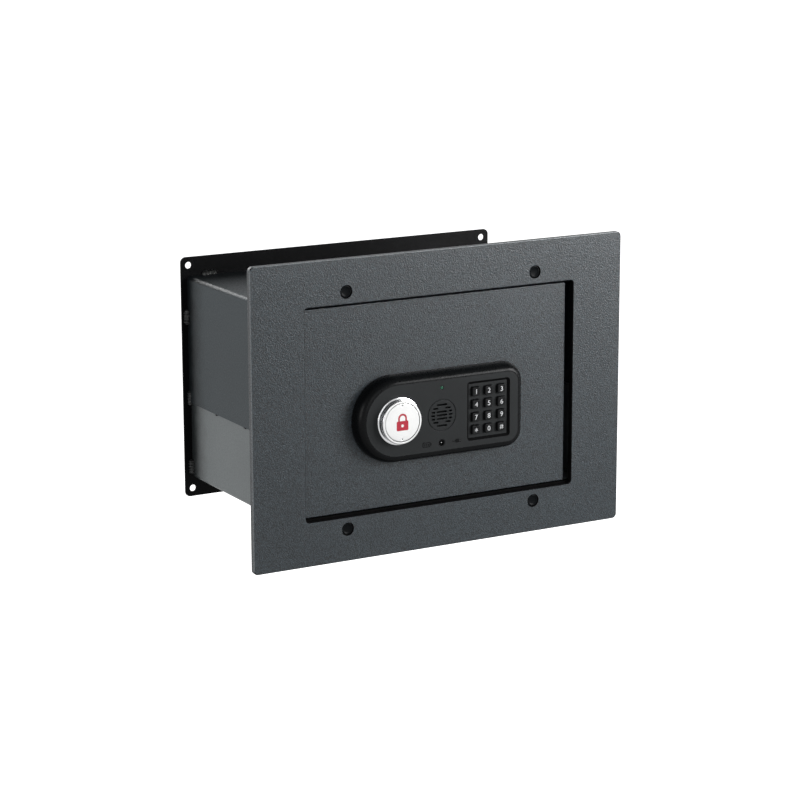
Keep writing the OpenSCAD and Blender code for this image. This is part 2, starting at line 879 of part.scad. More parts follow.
// Straight-sided rack tooth that hangs from the window's upper edge
module rack_tooth() {
    tip = 0.85 * gear_module;
    root = 1.3 * gear_module;
    half = PI * gear_module / 4 - backlash / 2;
    lean = tan(pressure_angle);
    polygon([
        [-half + tip * lean, -tip],
        [half - tip * lean, -tip],
        [half + root * lean, root],
        [-half - root * lean, root]
    ]);
}

module carriage_outline() {
    window_left = knob_x - pinion_outer_r - 1.5;
    window_right = knob_x + bolt_travel + pinion_outer_r + 1.5;
    window_bottom = knob_z - pinion_outer_r - 1.5;
    pitch_z = knob_z + pitch_r;
    rack_pitch = PI * gear_module;
    difference() {
        union() {
            translate([carriage_left, -carriage_half_h])
                square([carriage_right - carriage_left, 2 * carriage_half_h]);
            translate([carriage_right - 6, shelf_z])
                square([solenoid_x + bolt_travel + 10 - carriage_right + 6, carriage_half_h - shelf_z]);
        }
        translate([window_left, window_bottom])
            square([window_right - window_left, pitch_z + 1.3 * gear_module - window_bottom]);
        for (x = stud_x, side = [-1, 1])
            translate([x, side * stud_z]) slot_outline(bolt_travel, stud_d + 2 * slot_gap);
    }
    for (i = [-2 : 6])
        translate([knob_x + (i + 0.5) * rack_pitch, pitch_z]) rack_tooth();
}

module bolt_carriage() {
    shelf_left = carriage_right;
    shelf_right = solenoid_x + bolt_travel + 10;
    color(zinc)
        difference() {
            union() {
                slab(carriage_y, carriage_back_y) carriage_outline();
                block(carriage_left - flange_t, carriage_left, carriage_y, flange_y,
                      -carriage_half_h, carriage_half_h);
                block(shelf_left, shelf_right, carriage_y, solenoid_y + 8, shelf_z, shelf_z + shelf_t);
            }
            for (side = [-1, 1])
                rod_x(6, carriage_left - flange_t - 1, carriage_left + 1, bolt_y, side * bolt_spacing / 2);
            for (x = [solenoid_x, solenoid_x + bolt_travel])
                rod_z(plunger_d + 0.8, shelf_z - 1, shelf_z + shelf_t + 5, x, solenoid_y);
        }
}

module locking_bolts() {
    shoulder_x = carriage_left - flange_t;
    color(bright_metal)
        for (side = [-1, 1])
            difference() {
                union() {
                    rod_x(bolt_d, bolt_end_x + 2, shoulder_x, bolt_y, side * bolt_spacing / 2);
                    translate([bolt_end_x, bolt_y, side * bolt_spacing / 2]) rotate([0, 90, 0])
                        cylinder(d1 = bolt_d - 4, d2 = bolt_d, h = 2);
                }
                rod_x(6, shoulder_x - 14, shoulder_x + 1, bolt_y, side * bolt_spacing / 2);
            }
}

module bolt_screws() {
    color(zinc)
        for (side = [-1, 1]) {
            rod_x(5.9, carriage_left - flange_t - 12, carriage_left, bolt_y, side * bolt_spacing / 2);
            rod_x(10, carriage_left, carriage_left + 4, bolt_y, side * bolt_spacing / 2);
        }
}

// ---------- Knob and spindle ----------

module knob() {
    color(bright_metal)
        difference() {
            union() {
                rod_y(knob_d, knob_front_y + 0.8, knob_front_y + disc_t, knob_x, knob_z);
                translate([knob_x, knob_front_y + 0.8, knob_z]) rotate([90, 0, 0])
                    cylinder(d1 = knob_d, d2 = knob_d - 1.6, h = 0.8);
                rod_y(neck_d, knob_front_y + disc_t, esc_front_y - 0.3, knob_x, knob_z);
            }
            rod_y(cap_d + 0.2, knob_front_y - 1, cap_floor_y, knob_x, knob_z);
            rod_y(spindle_d, cap_floor_y - 1, esc_front_y + 1, knob_x, knob_z);
        }
}

module spindle() {
    color(zinc)
        difference() {
            rod_y(spindle_d, cap_floor_y + 0.5, pinion_front_y + pinion_w + 3, knob_x, knob_z);
            rod_y(spindle_bore_d, cap_floor_y - 1, pinion_front_y + pinion_w + 4, knob_x, knob_z);
        }
}

function involute(angle) = tan(angle) * 180 / PI - angle;
// Half of the angle that a tooth takes up at radius r
function half_tooth(r) =
    let (base_r = pitch_r * cos(pressure_angle))
    let (at_r = acos(min(1, base_r / r)))
    90 / pinion_teeth - backlash / 2 / pitch_r * 90 / PI + involute(pressure_angle) - involute(at_r);

// Involute pinion with one tooth pointing up
module pinion() {
    base_r = pitch_r * cos(pressure_angle);
    flank = [base_r, (base_r + pitch_r) / 2, pitch_r, (pitch_r + pinion_outer_r) / 2, pinion_outer_r];
    outline = [
        for (t = [0 : pinion_teeth - 1])
            let (mid = 90 + t * 360 / pinion_teeth)
            each concat(
                [polar(pinion_root_r, mid - half_tooth(base_r))],
                [for (r = flank) polar(r, mid - half_tooth(r))],
                [for (i = [len(flank) - 1 : -1 : 0]) polar(flank[i], mid + half_tooth(flank[i]))],
                [polar(pinion_root_r, mid + half_tooth(base_r))]
            )
    ];
    color(brass)
        slab(pinion_front_y, pinion_front_y + pinion_w)
            translate([knob_x, knob_z])
                difference() {
                    polygon(outline);
                    circle(d = spindle_d);
                }
}

function polar(r, a) = [r * cos(a), r * sin(a)];

module spindle_nut() {
    back_y = pinion_front_y + pinion_w;
    color(zinc)
        difference() {
            translate([knob_x, back_y + 2.5, knob_z]) rotate([90, 0, 0]) cylinder(d = 22, h = 2.5, $fn = 6);
            rod_y(spindle_d, back_y - 1, back_y + 3, knob_x, knob_z);
        }
}

module key_cylinder() {
    color(brass)
        difference() {
            rod_y(spindle_bore_d - 0.1, cap_floor_y + 0.5, door_back_y, knob_x, knob_z);
            rod_y(8.1, cap_floor_y, door_back_y + 1, knob_x, knob_z);
        }
}

module key_plug() {
    color(brass)
        difference() {
            union() {
                rod_y(8, cap_floor_y + 0.4, door_back_y, knob_x, knob_z);
                block(knob_x - 1, knob_x + 1, door_back_y, pinion_front_y + pinion_w + 2,
                      knob_z - 2.5, knob_z + 2.5);
            }
            block(knob_x - 0.7, knob_x + 0.7, cap_floor_y, door_front_y, knob_z - 2.6, knob_z + 2.6);
        }
}

// Plain disc with two pin holes, and a raised rim line
module knob_cap() {
    pin_r = 16.8;
    color(bright_metal)
        difference() {
            union() {
                rod_y(cap_d, knob_front_y + 0.2, knob_front_y + cap_t, knob_x, knob_z);
                rod_y(cap_d - 1.2, knob_front_y, knob_front_y + 0.2, knob_x, knob_z);
            }
            for (side = [-1, 1])
                rod_y(1.6, knob_front_y - 1, knob_front_y + cap_t + 1, knob_x, knob_z + side * pin_r);
        }
}

// ---------- Assembly ----------

front_plate();
plate_plugs();
body_upper_shell();
body_lower_shell();
rear_plate();
weld_beads();
bolt_strike();
hinge_brackets();
hinge_pins();
hinge_washers();
floor_mat();
door_plate();
hinge_blocks();
escutcheon();
knob_base_ring();
spindle_bush();
speaker();
status_light();
power_jack();
keypad_mat();
circuit_board();
escutcheon_studs();
escutcheon_nuts();
inner_cover();
cover_screws();
bolt_guide();
guide_studs();
guide_nuts();
battery_box();
batteries();
battery_contacts();
reset_switch();
solenoid_frame();
solenoid_coil();
cable_harness();
bolt_carriage();
locking_bolts();
bolt_screws();
knob();
spindle();
pinion();
spindle_nut();
key_cylinder();
key_plug();
knob_cap();
solenoid_plunger();
battery_cover();
reset_button();
key(0);  // key_1
key(1);  // key_2
key(2);  // key_3
key(3);  // key_4
key(4);  // key_5
key(5);  // key_6
key(6);  // key_7
key(7);  // key_8
key(8);  // key_9
key(9);  // key_star
key(10);  // key_0
key(11);  // key_hash
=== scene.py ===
import json
import math
import random

import bmesh
import bpy
from mathutils import Matrix, Vector

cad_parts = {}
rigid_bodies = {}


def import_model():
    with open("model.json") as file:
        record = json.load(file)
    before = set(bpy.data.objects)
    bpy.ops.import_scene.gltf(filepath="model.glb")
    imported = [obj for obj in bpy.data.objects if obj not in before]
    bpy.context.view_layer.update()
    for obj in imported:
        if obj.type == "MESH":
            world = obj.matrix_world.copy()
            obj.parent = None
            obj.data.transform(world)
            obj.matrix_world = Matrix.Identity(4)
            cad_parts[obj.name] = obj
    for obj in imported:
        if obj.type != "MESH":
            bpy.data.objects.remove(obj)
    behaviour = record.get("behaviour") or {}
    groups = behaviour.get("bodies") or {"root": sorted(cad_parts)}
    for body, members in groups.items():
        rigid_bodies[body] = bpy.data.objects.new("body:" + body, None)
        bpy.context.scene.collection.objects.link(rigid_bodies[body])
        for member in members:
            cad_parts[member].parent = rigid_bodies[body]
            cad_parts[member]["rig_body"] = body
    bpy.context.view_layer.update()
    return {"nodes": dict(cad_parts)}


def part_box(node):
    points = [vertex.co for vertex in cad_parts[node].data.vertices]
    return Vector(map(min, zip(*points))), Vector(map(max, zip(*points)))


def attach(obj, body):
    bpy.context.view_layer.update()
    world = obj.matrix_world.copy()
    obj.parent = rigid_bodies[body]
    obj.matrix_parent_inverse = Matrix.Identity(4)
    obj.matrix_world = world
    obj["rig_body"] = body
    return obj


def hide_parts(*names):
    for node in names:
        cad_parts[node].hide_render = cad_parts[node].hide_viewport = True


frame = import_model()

# The looks of the wall safe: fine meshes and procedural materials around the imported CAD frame.
# Everything is in metres. The safe faces -Y, +X is to its right and +Z is up.

MM = 0.001

# Sizes that the frame's boxes don't give
PLATE_CORNER = 5 * MM
PLATE_RIM = 0.9 * MM
PLATE_BACK_RIM = 0.1 * MM
OPENING_W = 304 * MM
OPENING_H = 210.5 * MM
OPENING_CORNER = 4 * MM
PLUG_HOLE_R = 6 * MM
REAR_CORNER = 5.5 * MM
ANCHOR_R = 3.5 * MM
ANCHOR_INSET = 8.5 * MM
BEND_R = 4.5 * MM
SHEET = 2 * MM
LAP = 15 * MM
SHELL_RIM = 0.1 * MM
SHADE_BAND = 6 * MM
# How far the painted shade by the rear plate reaches forward on the body, and how ragged its edge is
PAINTED_REAR_SHADE_REACH = 40 * MM
PAINTED_REAR_SHADE_REACH_MORE_ON_TOP = 85 * MM
PAINTED_REAR_SHADE_RAGGED = 30 * MM
TOP_FACE_Z = 102 * MM
BLOB_DEPTH = 5.5 * MM
BUSH_HOLE_R = 10 * MM
STUD_HOLE_R = 2.1 * MM
HUB_HOLE_R = 8.5 * MM
ESC_CORNER = 19 * MM
ESC_BORDER = 8 * MM
ESC_WALL = 2.5 * MM
ESC_STRAIGHT = 4 * MM
POCKET_DEPTH = 2 * MM
POCKET_FLOOR = 1.6 * MM
POCKET_SLOPE = 2.2 * MM
KEY_SIZE = 9.2 * MM
KEY_GAP = 0.5 * MM
GLYPH_H = 7 * MM
STAR_H = 9 * MM
LIGHT_R = 1.8 * MM
JACK_R = 3.3 * MM
JACK_BORE_R = 2.1 * MM
JACK_PIN_R = 0.7 * MM
MARK_X = 17.5 * MM
MARK_PROUD = 0.15 * MM
MARK_UNIT = 1.4 * MM
GRILLE_R = 12 * MM
GRILLE_PITCH = 3.5 * MM
GRILLE_SLOT = 1.7 * MM
GRILLE_BAR = 2 * MM
GRILLE_MID_HALF = 5.8 * MM
GRILLE_SOLID_HALF = 4 * MM
GROOVE_R = 15.8 * MM
GROOVE_HALF = 0.35 * MM
KNOB_DISC = 3.8 * MM
KNOB_NECK_R = 19.25 * MM
CAP_GAP = 0.1 * MM
CAP_RIM = 0.7 * MM
PIN_OFFSET = 16.8 * MM
PIN_R = 0.8 * MM
SPINDLE_R = 8 * MM
RING_BORE_R = 19.75 * MM
SIGN_T = 0.03 * MM
SIGN_BACK = 0.4 * MM
LENS_MM = 116.5
SENSOR_MM = 36
CAMERA_PLACE = (-1.2555, -2.3571, 0.5713)
CAMERA_YAW, CAMERA_PITCH, CAMERA_ROLL = 29.415, 12.975, -0.148
FLOOR_Z = -0.75


# ---------- Places taken from the frame ----------

def middle(node):
    """Middle of a CAD node's box."""
    low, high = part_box(node)
    return (low + high) / 2


def solids(node):
    """(lowest corner, highest corner) of each separate solid in a CAD node."""
    bm = bmesh.new()
    bm.from_mesh(frame["nodes"][node].data)
    bmesh.ops.remove_doubles(bm, verts=bm.verts, dist=0.001 * MM)
    todo, found = set(bm.verts), []
    while todo:
        reached, edge = set(), [todo.pop()]
        while edge:
            vert = edge.pop()
            reached.add(vert)
            for other in (e.other_vert(vert) for e in vert.link_edges):
                if other in todo:
                    todo.discard(other)
                    edge.append(other)
        low = Vector([min(v.co[i] for v in reached) for i in range(3)])
        high = Vector([max(v.co[i] for v in reached) for i in range(3)])
        found.append((low, high))
    bm.free()
    return sorted(found, key=lambda box: tuple(box[0]))


# ---------- Outlines: functions of an inset that give (x, z) points ----------

def arc(x, z, r, start, end, steps):
    """Points of an arc, with its angles in degrees."""
    turns = [math.radians(start + (end - start) * i / steps) for i in range(steps + 1)]
    return [(x + r * math.cos(t), z + r * math.sin(t)) for t in turns]


def quarter(steps):
    """Angles from 0 to a quarter turn."""
    return [math.pi / 2 * i / steps for i in range(steps + 1)]


def rounded_rect(x, z, w, h, r, steps=8):
    def outline(inset):
        a, b = w / 2 - r, h / 2 - r
        points = []
        for i, (sx, sz) in enumerate([(1, 1), (-1, 1), (-1, -1), (1, -1)]):
            points += arc(x + sx * a, z + sz * b, r - inset, 90 * i, 90 * i + 90, steps)
        return points
    return outline


def circle(x, z, r, steps=64):
    return lambda inset: arc(x, z, r - inset, 0, 360 * (steps - 1) / steps, steps - 1)


def hole(outline):
    """A hole's outline grows where the material around it draws in."""
    return lambda inset: outline(-inset)


# ---------- Mesh building ----------

def walls(bm, rings, material=0):
    """Faces between each ring of vertices and the next."""
    for low, high in zip(rings, rings[1:]):
        for i in range(len(low)):
            j = (i + 1) % len(low)
            bm.faces.new((low[i], low[j], high[j], high[i])).material_index = material


def skin(bm, outline, profile, material=0):
    """Walls along an outline, one ring for each (inset, y) of the profile.
    Returns the first and the last ring."""
    rings = [[bm.verts.new((x, y, z)) for x, z in outline(inset)] for inset, y in profile]
    walls(bm, rings, material)
    return rings[0], rings[-1]


def cap(bm, rings):
    """Fills the flat area between an outer ring and the rings of its holes."""
    edges = []
    for ring in rings:
        for a, b in zip(ring, ring[1:] + ring[:1]):
            edges.append(bm.edges.get((a, b)) or bm.edges.new((a, b)))
    bmesh.ops.triangle_fill(bm, edges=edges, use_beauty=True)


def rim(y0, y1, r, band=0.0, back_r=None):
    """Profile of a slab's edge from its back at y1 to its front at y0, rounded at both.
    A band is an extra ring that far behind the front."""
    back_r = r if back_r is None else back_r
    turns = quarter(4)
    back = [(back_r * (1 - math.sin(t)), y1 - back_r * (1 - math.cos(t))) for t in turns]
    front = [(r * (1 - math.cos(t)), y0 + r * (1 - math.sin(t))) for t in turns]
    return back + ([(0, y0 + band)] if band else []) + front


def slab(bm, outer, holes, y0, y1, r, hole_material=0, band=0.0, back_r=None):
    """A plate between two Y planes, with holes and rounded rims."""
    profile = rim(y0, y1, r, band, back_r)
    pairs = [skin(bm, outer, profile)]
    pairs += [skin(bm, hole(outline), profile, hole_material) for outline in holes]
    cap(bm, [pair[0] for pair in pairs])
    cap(bm, [pair[1] for pair in pairs])


def lathe(bm, profile, x, z, steps=96, material=0, closed=True):
    """Turns (radius, y) points about the line through (x, z) along Y; a radius of 0 is a pole."""
    rings = []
    for r, y in profile:
        if r < 1e-7:
            rings.append([bm.verts.new((x, y, z))])
        else:
            points = circle(x, z, r, steps)(0)
            rings.append([bm.verts.new((px, y, pz)) for px, pz in points])
    pairs = list(zip(rings, rings[1:]))
    if closed:
        pairs.append((rings[-1], rings[0]))
    for low, high in pairs:
        for i in range(steps):
            j = (i + 1) % steps
            corners = [low[i % len(low)], low[j % len(low)], high[j % len(high)], high[i % len(high)]]
            corners = list(dict.fromkeys(corners))
            if len(corners) > 2:
                bm.faces.new(corners).material_index = material


def piece(name, bm, body, finishes, nodes=(), sharp=35):
    """Makes an object of the mesh, with its finish, on its body, in place of CAD nodes."""
    bmesh.ops.recalc_face_normals(bm, faces=bm.faces)
    mesh = bpy.data.meshes.new(name)
    bm.to_mesh(mesh)
    bm.free()
    mesh.shade_smooth()
    mesh.set_sharp_from_angle(angle=math.radians(sharp))
    made = bpy.data.objects.new(name, mesh)
    bpy.context.scene.collection.objects.link(made)
    for finish in finishes:
        mesh.materials.append(finish)
    weighted = made.modifiers.new("flat faces stay flat", "WEIGHTED_NORMAL")
    weighted.keep_sharp = True
    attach(made, body)
    if nodes:
        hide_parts(*nodes)
    return made


def softened(node, finish, width):
    """A copy of a CAD node's shape with its hard edges rounded."""
    bm = bmesh.new()
    bm.from_mesh(frame["nodes"][node].data)
    bmesh.ops.remove_doubles(bm, verts=bm.verts, dist=0.001 * MM)
    bmesh.ops.dissolve_limit(bm, angle_limit=math.radians(0.5), verts=bm.verts, edges=bm.edges)
    hard = math.radians(30)
    edges = [e for e in bm.edges if len(e.link_faces) == 2 and e.calc_face_angle(0) > hard]
    bmesh.ops.bevel(bm, geom=edges, offset=width, offset_type="OFFSET", segments=2, profile=0.5,
                    affect="EDGES", clamp_overlap=False)
    bmesh.ops.remove_doubles(bm, verts=bm.verts, dist=0.001 * MM)
    body = frame["nodes"][node]["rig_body"]
    return piece(node + "_finished", bm, body, [finish], [node])


# ---------- Materials ----------

def grey_ramp(nodes, links, factor, stops):
    """Grey levels by factor; stops are (position, level)."""
    node = nodes.new("ShaderNodeValToRGB")
    links.new(factor, node.inputs["Fac"])
    elements = node.color_ramp.elements
    while len(elements) < len(stops):
        elements.new(0.5)
    for element, (position, level) in zip(elements, stops):
        element.position = position
        element.color = (level, level, level, 1)
    return node.outputs["Color"]


def multiplier(nodes):
    """A node that multiplies colour A by colour B."""
    node = nodes.new("ShaderNodeMix")
    node.data_type = "RGBA"
    node.blend_type = "MULTIPLY"
    node.inputs["Factor"].default_value = 1.0
    return node


class Finish:
    """A principled material and the few node recipes that the safe's finishes share."""

    def __init__(self, name, color, roughness, metallic=0.0, specular=0.5):
        self.material = bpy.data.materials.new(name)
        self.material.use_nodes = True
        self.nodes = self.material.node_tree.nodes
        self.links = self.material.node_tree.links
        self.shader = self.nodes["Principled BSDF"]
        self.set("Base Color", (*color, 1))
        self.set("Roughness", roughness)
        self.set("Metallic", metallic)
        self.set("Specular IOR Level", specular)
        self.place = self.nodes.new("ShaderNodeTexCoord").outputs["Object"]
        self.normal = None

    def set(self, socket, value):
        self.shader.inputs[socket].default_value = value

    def noise(self, scale, detail=2.0, rough=0.5, place=None):
        node = self.nodes.new("ShaderNodeTexNoise")
        node.inputs["Scale"].default_value = scale
        node.inputs["Detail"].default_value = detail
        node.inputs["Roughness"].default_value = rough
        self.links.new(place or self.place, node.inputs["Vector"])
        return node.outputs["Fac"]

    def cells(self, scale):
        node = self.nodes.new("ShaderNodeTexVoronoi")
        node.inputs["Scale"].default_value = scale
        self.links.new(self.place, node.inputs["Vector"])
        return node.outputs["Distance"]

    def stretched(self, sx, sy, sz):
        """The place, scaled by axis, for brushed and drawn surfaces."""
        node = self.nodes.new("ShaderNodeMapping")
        node.inputs["Scale"].default_value = (sx, sy, sz)
        self.links.new(self.place, node.inputs["Vector"])
        return node.outputs["Vector"]

    def math(self, operation, a, b=0.0):
        node = self.nodes.new("ShaderNodeMath")
        node.operation = operation
        for socket, value in zip(node.inputs, (a, b)):
            if isinstance(value, (int, float)):
                socket.default_value = value
            else:
                self.links.new(value, socket)
        return node.outputs[0]

    def radius_about(self, x, z):
        """Distance from a line along Y through (x, z)."""
        split = self.nodes.new("ShaderNodeSeparateXYZ")
        self.links.new(self.place, split.inputs[0])
        dx = self.math("SUBTRACT", split.outputs["X"], x)
        dz = self.math("SUBTRACT", split.outputs["Z"], z)
        squares = [self.math("MULTIPLY", d, d) for d in (dx, dz)]
        return self.math("SQRT", self.math("ADD", *squares))

    def tint(self, factor, low, high, start=0.3, end=0.7):
        """Multiplies the base colour by low to high as the factor goes from start to end."""
        lift = grey_ramp(self.nodes, self.links, factor, [(start, low), (end, high)])
        mix = multiplier(self.nodes)
        color = self.shader.inputs["Base Color"]
        if color.is_linked:
            self.links.new(color.links[0].from_socket, mix.inputs["A"])
        else:
            mix.inputs["A"].default_value = color.default_value
        self.links.new(lift, mix.inputs["B"])
        self.links.new(mix.outputs["Result"], color)

    def vary_roughness(self, factor, low, high):
        level = grey_ramp(self.nodes, self.links, factor, [(0.3, low), (0.7, high)])
        self.links.new(level, self.shader.inputs["Roughness"])

    def bump(self, height, depth, strength=1.0):
        """Relief of a real depth in metres, on top of any there already."""
        node = self.nodes.new("ShaderNodeBump")
        node.inputs["Strength"].default_value = strength
        node.inputs["Distance"].default_value = depth
        self.links.new(height, node.inputs["Height"])
        if self.normal is not None:
            self.links.new(self.normal, node.inputs["Normal"])
        self.normal = node.outputs["Normal"]
        self.links.new(self.normal, self.shader.inputs["Normal"])


def coated(name, color, grain, roughness, specular, speckle, relief):
    """Orange peel: a mottled tone, bright and dark specks, and fine relief."""
    f = Finish(name, color, roughness, specular=specular)
    f.tint(f.noise(9, 3), 0.93, 1.07)
    f.tint(f.noise(grain, 2, 0.6), 1 - speckle, 1 + speckle, 0.40, 0.60)
    f.vary_roughness(f.noise(grain * 0.6), roughness - 0.08, roughness + 0.08)
    f.bump(f.noise(grain * 0.8, 2, 0.55), 0.36 * MM, relief)
    f.bump(f.cells(grain * 1.7), 0.05 * MM, 0.25)
    return f


def powder_coat(name, color, grain, roughness, specular, speckle, relief=0.5):
    return coated(name, color, grain, roughness, specular, speckle, relief).material


def body_coat(name, color, specular):
    """Satin coat on the body, painted darker towards the rear plate: painted shade and a painted
    reflection of the black rear plate at its back end.
    """
    f = coated(name, color, 1000, 0.38, specular, 0.10, 0.35)
    split = f.nodes.new("ShaderNodeSeparateXYZ")
    f.links.new(f.place, split.inputs[0])
    # The painted shade reaches further along the top than down the sides
    on_top = f.math("GREATER_THAN", split.outputs["Z"], TOP_FACE_Z)
    reach = f.math("ADD", f.math("MULTIPLY", on_top, PAINTED_REAR_SHADE_REACH_MORE_ON_TOP), PAINTED_REAR_SHADE_REACH)
    ragged_shade = f.math("MULTIPLY", f.math("SUBTRACT", f.noise(55, 4, 0.65), 0.5), PAINTED_REAR_SHADE_RAGGED)
    forward = f.math("ADD", f.math("MULTIPLY", split.outputs["Y"], -1), ragged_shade)
    f.tint(f.math("DIVIDE", forward, reach), 0.20, 1.0, 0.15, 1.0)
    return f.material


def plated(name, color, roughness, stretch=(1, 1, 1), grain=1500.0):
    """Metal with fine drawn or brushed lines and a cloudy gloss."""
    f = Finish(name, color, roughness, metallic=1.0)
    lines = f.noise(grain, 3, 0.6, f.stretched(*stretch))
    f.tint(f.noise(60, 3), 0.90, 1.06)
    f.tint(lines, 0.94, 1.04)
    f.vary_roughness(f.noise(180, 3), roughness - 0.07, roughness + 0.09)
    f.bump(lines, 0.01 * MM, 0.4)
    return f.material


def turned(name, color, roughness):
    """Metal with fine lathe lines about the knob's axis."""
    f = Finish(name, color, roughness, metallic=1.0)
    ring = f.noise(2600, 2, 0.6, f.radius_about(knob_at.x, knob_at.z))
    f.tint(f.noise(70, 2), 0.97, 1.02)
    f.tint(ring, 0.95, 1.02)
    f.vary_roughness(ring, roughness - 0.05, roughness + 0.05)
    f.bump(ring, 0.008 * MM, 0.35)
    return f.material


def moulded(name, color, roughness, grain=2600.0, relief=0.03 * MM, specular=0.4):
    """Moulded plastic with a spark-eroded grain."""
    f = Finish(name, color, roughness, specular=specular)
    f.tint(f.noise(25, 2), 0.90, 1.10)
    f.tint(f.noise(grain, 2), 0.85, 1.15)
    f.vary_roughness(f.noise(grain * 0.5, 1), roughness - 0.05, roughness + 0.05)
    f.bump(f.noise(grain, 2, 0.6), relief, 0.5)
    return f.material


knob_low, knob_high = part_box("knob")
knob_at = (knob_low + knob_high) / 2

FINISH = {
    "graphite": powder_coat("graphite_powder_coat", (0.0145, 0.0206, 0.0252),
                            1050, 0.39, 0.50, 0.80, 1.0),
    # A lighter copy of the graphite coat: a painted highlight on the plate's outer rims that face left
    # or up
    "edge": powder_coat("graphite_coat_painted_highlight", (0.110, 0.120, 0.128), 950, 0.32, 0.6, 0.3),
    # Lit and shaded copies of one grey coat: the lower shell's copy is lighter, a painted reflection of
    # the bright floor below
    "body": body_coat("grey_satin_coat", (0.0335, 0.0430, 0.0490), 0.13),
    "body_painted_lighter": body_coat("grey_satin_coat_painted_lighter", (0.081, 0.097, 0.100), 0.60),
    "black": powder_coat("black_paint", (0.0026, 0.0027, 0.0031), 1200, 0.42, 0.08, 0.10),
    # Near-black walls: painted shade inside the openings, the key pocket and the body's front end
    "painted_shade": powder_coat("painted_shade_walls", (0.0020, 0.0020, 0.0022), 900, 0.8, 0.05, 0.2),
    "weld": powder_coat("painted_weld", (0.014, 0.015, 0.015), 420, 0.35, 0.35, 0.8, 1.0),
    "zinc": plated("zinc_plate", (0.55, 0.56, 0.58), 0.34, (1, 1, 0.05)),
    "steel": plated("bright_steel", (0.72, 0.72, 0.74), 0.22, (0.04, 1, 1)),
    "brass": plated("brass", (0.70, 0.52, 0.24), 0.28, (1, 1, 0.1)),
    "chrome": turned("chrome", (0.86, 0.87, 0.88), 0.16),
    "satin": turned("satin_silver", (0.87, 0.875, 0.87), 0.36),
    # A dark grey line on the knob round its cap: painted shade in the seam
    "groove": moulded("cap_seat_painted_shade", (0.10, 0.10, 0.10), 0.6, 900, 0.01 * MM, 0.2),
    "plastic": moulded("black_plastic", (0.0078, 0.0092, 0.0100), 0.50, specular=0.21),
    "plastic_gloss": moulded("black_plastic_polished", (0.0022, 0.0027, 0.0031),
                             0.30, 900, 0.008 * MM, 0.12),
    "plug": moulded("black_plug", (0.0018, 0.0025, 0.0031), 0.36, 1400, 0.01 * MM, 0.06),
    "dark": moulded("speaker_black", (0.004, 0.004, 0.004), 0.7, specular=0.1),
    "rubber": moulded("key_rubber", (0.0050, 0.0054, 0.0060), 0.42, 1800, 0.015 * MM, 0.14),
    "silicone": moulded("silicone", (0.08, 0.09, 0.10), 0.55, 1200),
    "felt": moulded("felt", (0.02, 0.02, 0.024), 0.95, 700, 0.5 * MM, 0.1),
    "nylon": moulded("nylon", (0.80, 0.78, 0.70), 0.45, 900, 0.01 * MM),
    "board": moulded("board_green", (0.02, 0.13, 0.06), 0.30, 400, 0.01 * MM, 0.5),
    "wrap": moulded("battery_wrap", (0.03, 0.04, 0.06), 0.25, 300, 0.002 * MM, 0.5),
    "copper": plated("copper_winding", (0.55, 0.20, 0.08), 0.30, (1, 1, 8), 900),
    "wire": moulded("wire_red", (0.35, 0.02, 0.02), 0.40, 500, 0.01 * MM),
    "button": moulded("button_red", (0.50, 0.02, 0.02), 0.32, 900, 0.01 * MM, 0.5),
    "print": moulded("white_print", (0.52, 0.53, 0.54), 0.5, 2000, 0.004 * MM),
    "red_print": moulded("red_print", (0.36, 0.012, 0.03), 0.4, 2000, 0.004 * MM),
}

green = Finish("green_lens", (0.002, 0.055, 0.026), 0.2, specular=0.4)
green.tint(green.noise(900, 2), 0.85, 1.15)
green.bump(green.cells(1600), 0.02 * MM, 0.2)
green.set("Coat Weight", 0.3)
green.set("Coat Roughness", 0.08)
FINISH["green"] = green.material


# ---------- Front plate, plugs and body ----------

def make_front_plate():
    low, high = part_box("front_plate")
    bm = bmesh.new()
    outer = rounded_rect(0, 0, high.x - low.x, high.z - low.z, PLATE_CORNER)
    holes = [rounded_rect(0, 0, OPENING_W, OPENING_H, OPENING_CORNER)]
    for a, b in solids("plate_plugs"):
        holes.append(circle((a.x + b.x) / 2, (a.z + b.z) / 2, PLUG_HOLE_R, 48))
    # The walls of the opening and of the plug holes are painted near-black: painted shade
    slab(bm, outer, holes, low.y, high.y, PLATE_RIM, hole_material=1, back_r=PLATE_BACK_RIM)
    bmesh.ops.recalc_face_normals(bm, faces=bm.faces)
    # The rims that face left or up get a painted highlight at the plate's outside and painted shade at
    # the opening and the plug holes
    for face in bm.faces:
        at = face.calc_center_median()
        if at.y < low.y + PLATE_RIM:
            left_or_up = face.normal.x < -0.1 or face.normal.z > 0.1
            if abs(at.x) > high.x - PLATE_RIM or abs(at.z) > high.z - PLATE_RIM:
                face.material_index = 2 if left_or_up else 0
            else:
                face.material_index = 1 if left_or_up and face.normal.y > -0.99 else 0
    piece("front_plate_finished", bm, "safe_body",
          [FINISH["graphite"], FINISH["painted_shade"], FINISH["edge"]], ["front_plate"])


def make_plugs():
    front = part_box("front_plate")[0].y
    for i, (low, high) in enumerate(solids("plate_plugs")):
        r = (high.x - low.x) / 2
        profile = [(0, high.y), (r, high.y), (r, low.y + 0.5 * MM), (r - 0.15 * MM, low.y + 0.15 * MM),
                   (r - 0.5 * MM, low.y), (r - 1.1 * MM, low.y), (r - 1.4 * MM, low.y + 0.15 * MM),
                   (r - 1.8 * MM, low.y + 0.5 * MM), (r - 2.8 * MM, low.y + 0.75 * MM),
                   (0, front + 1.6 * MM)]
        bm = bmesh.new()
        lathe(bm, profile, (low.x + high.x) / 2, (low.z + high.z) / 2, 48, closed=False)
        nodes = ["plate_plugs"] if i == 0 else []
        piece(f"plate_plug_{i + 1}", bm, "safe_body", [FINISH["plug"]], nodes)


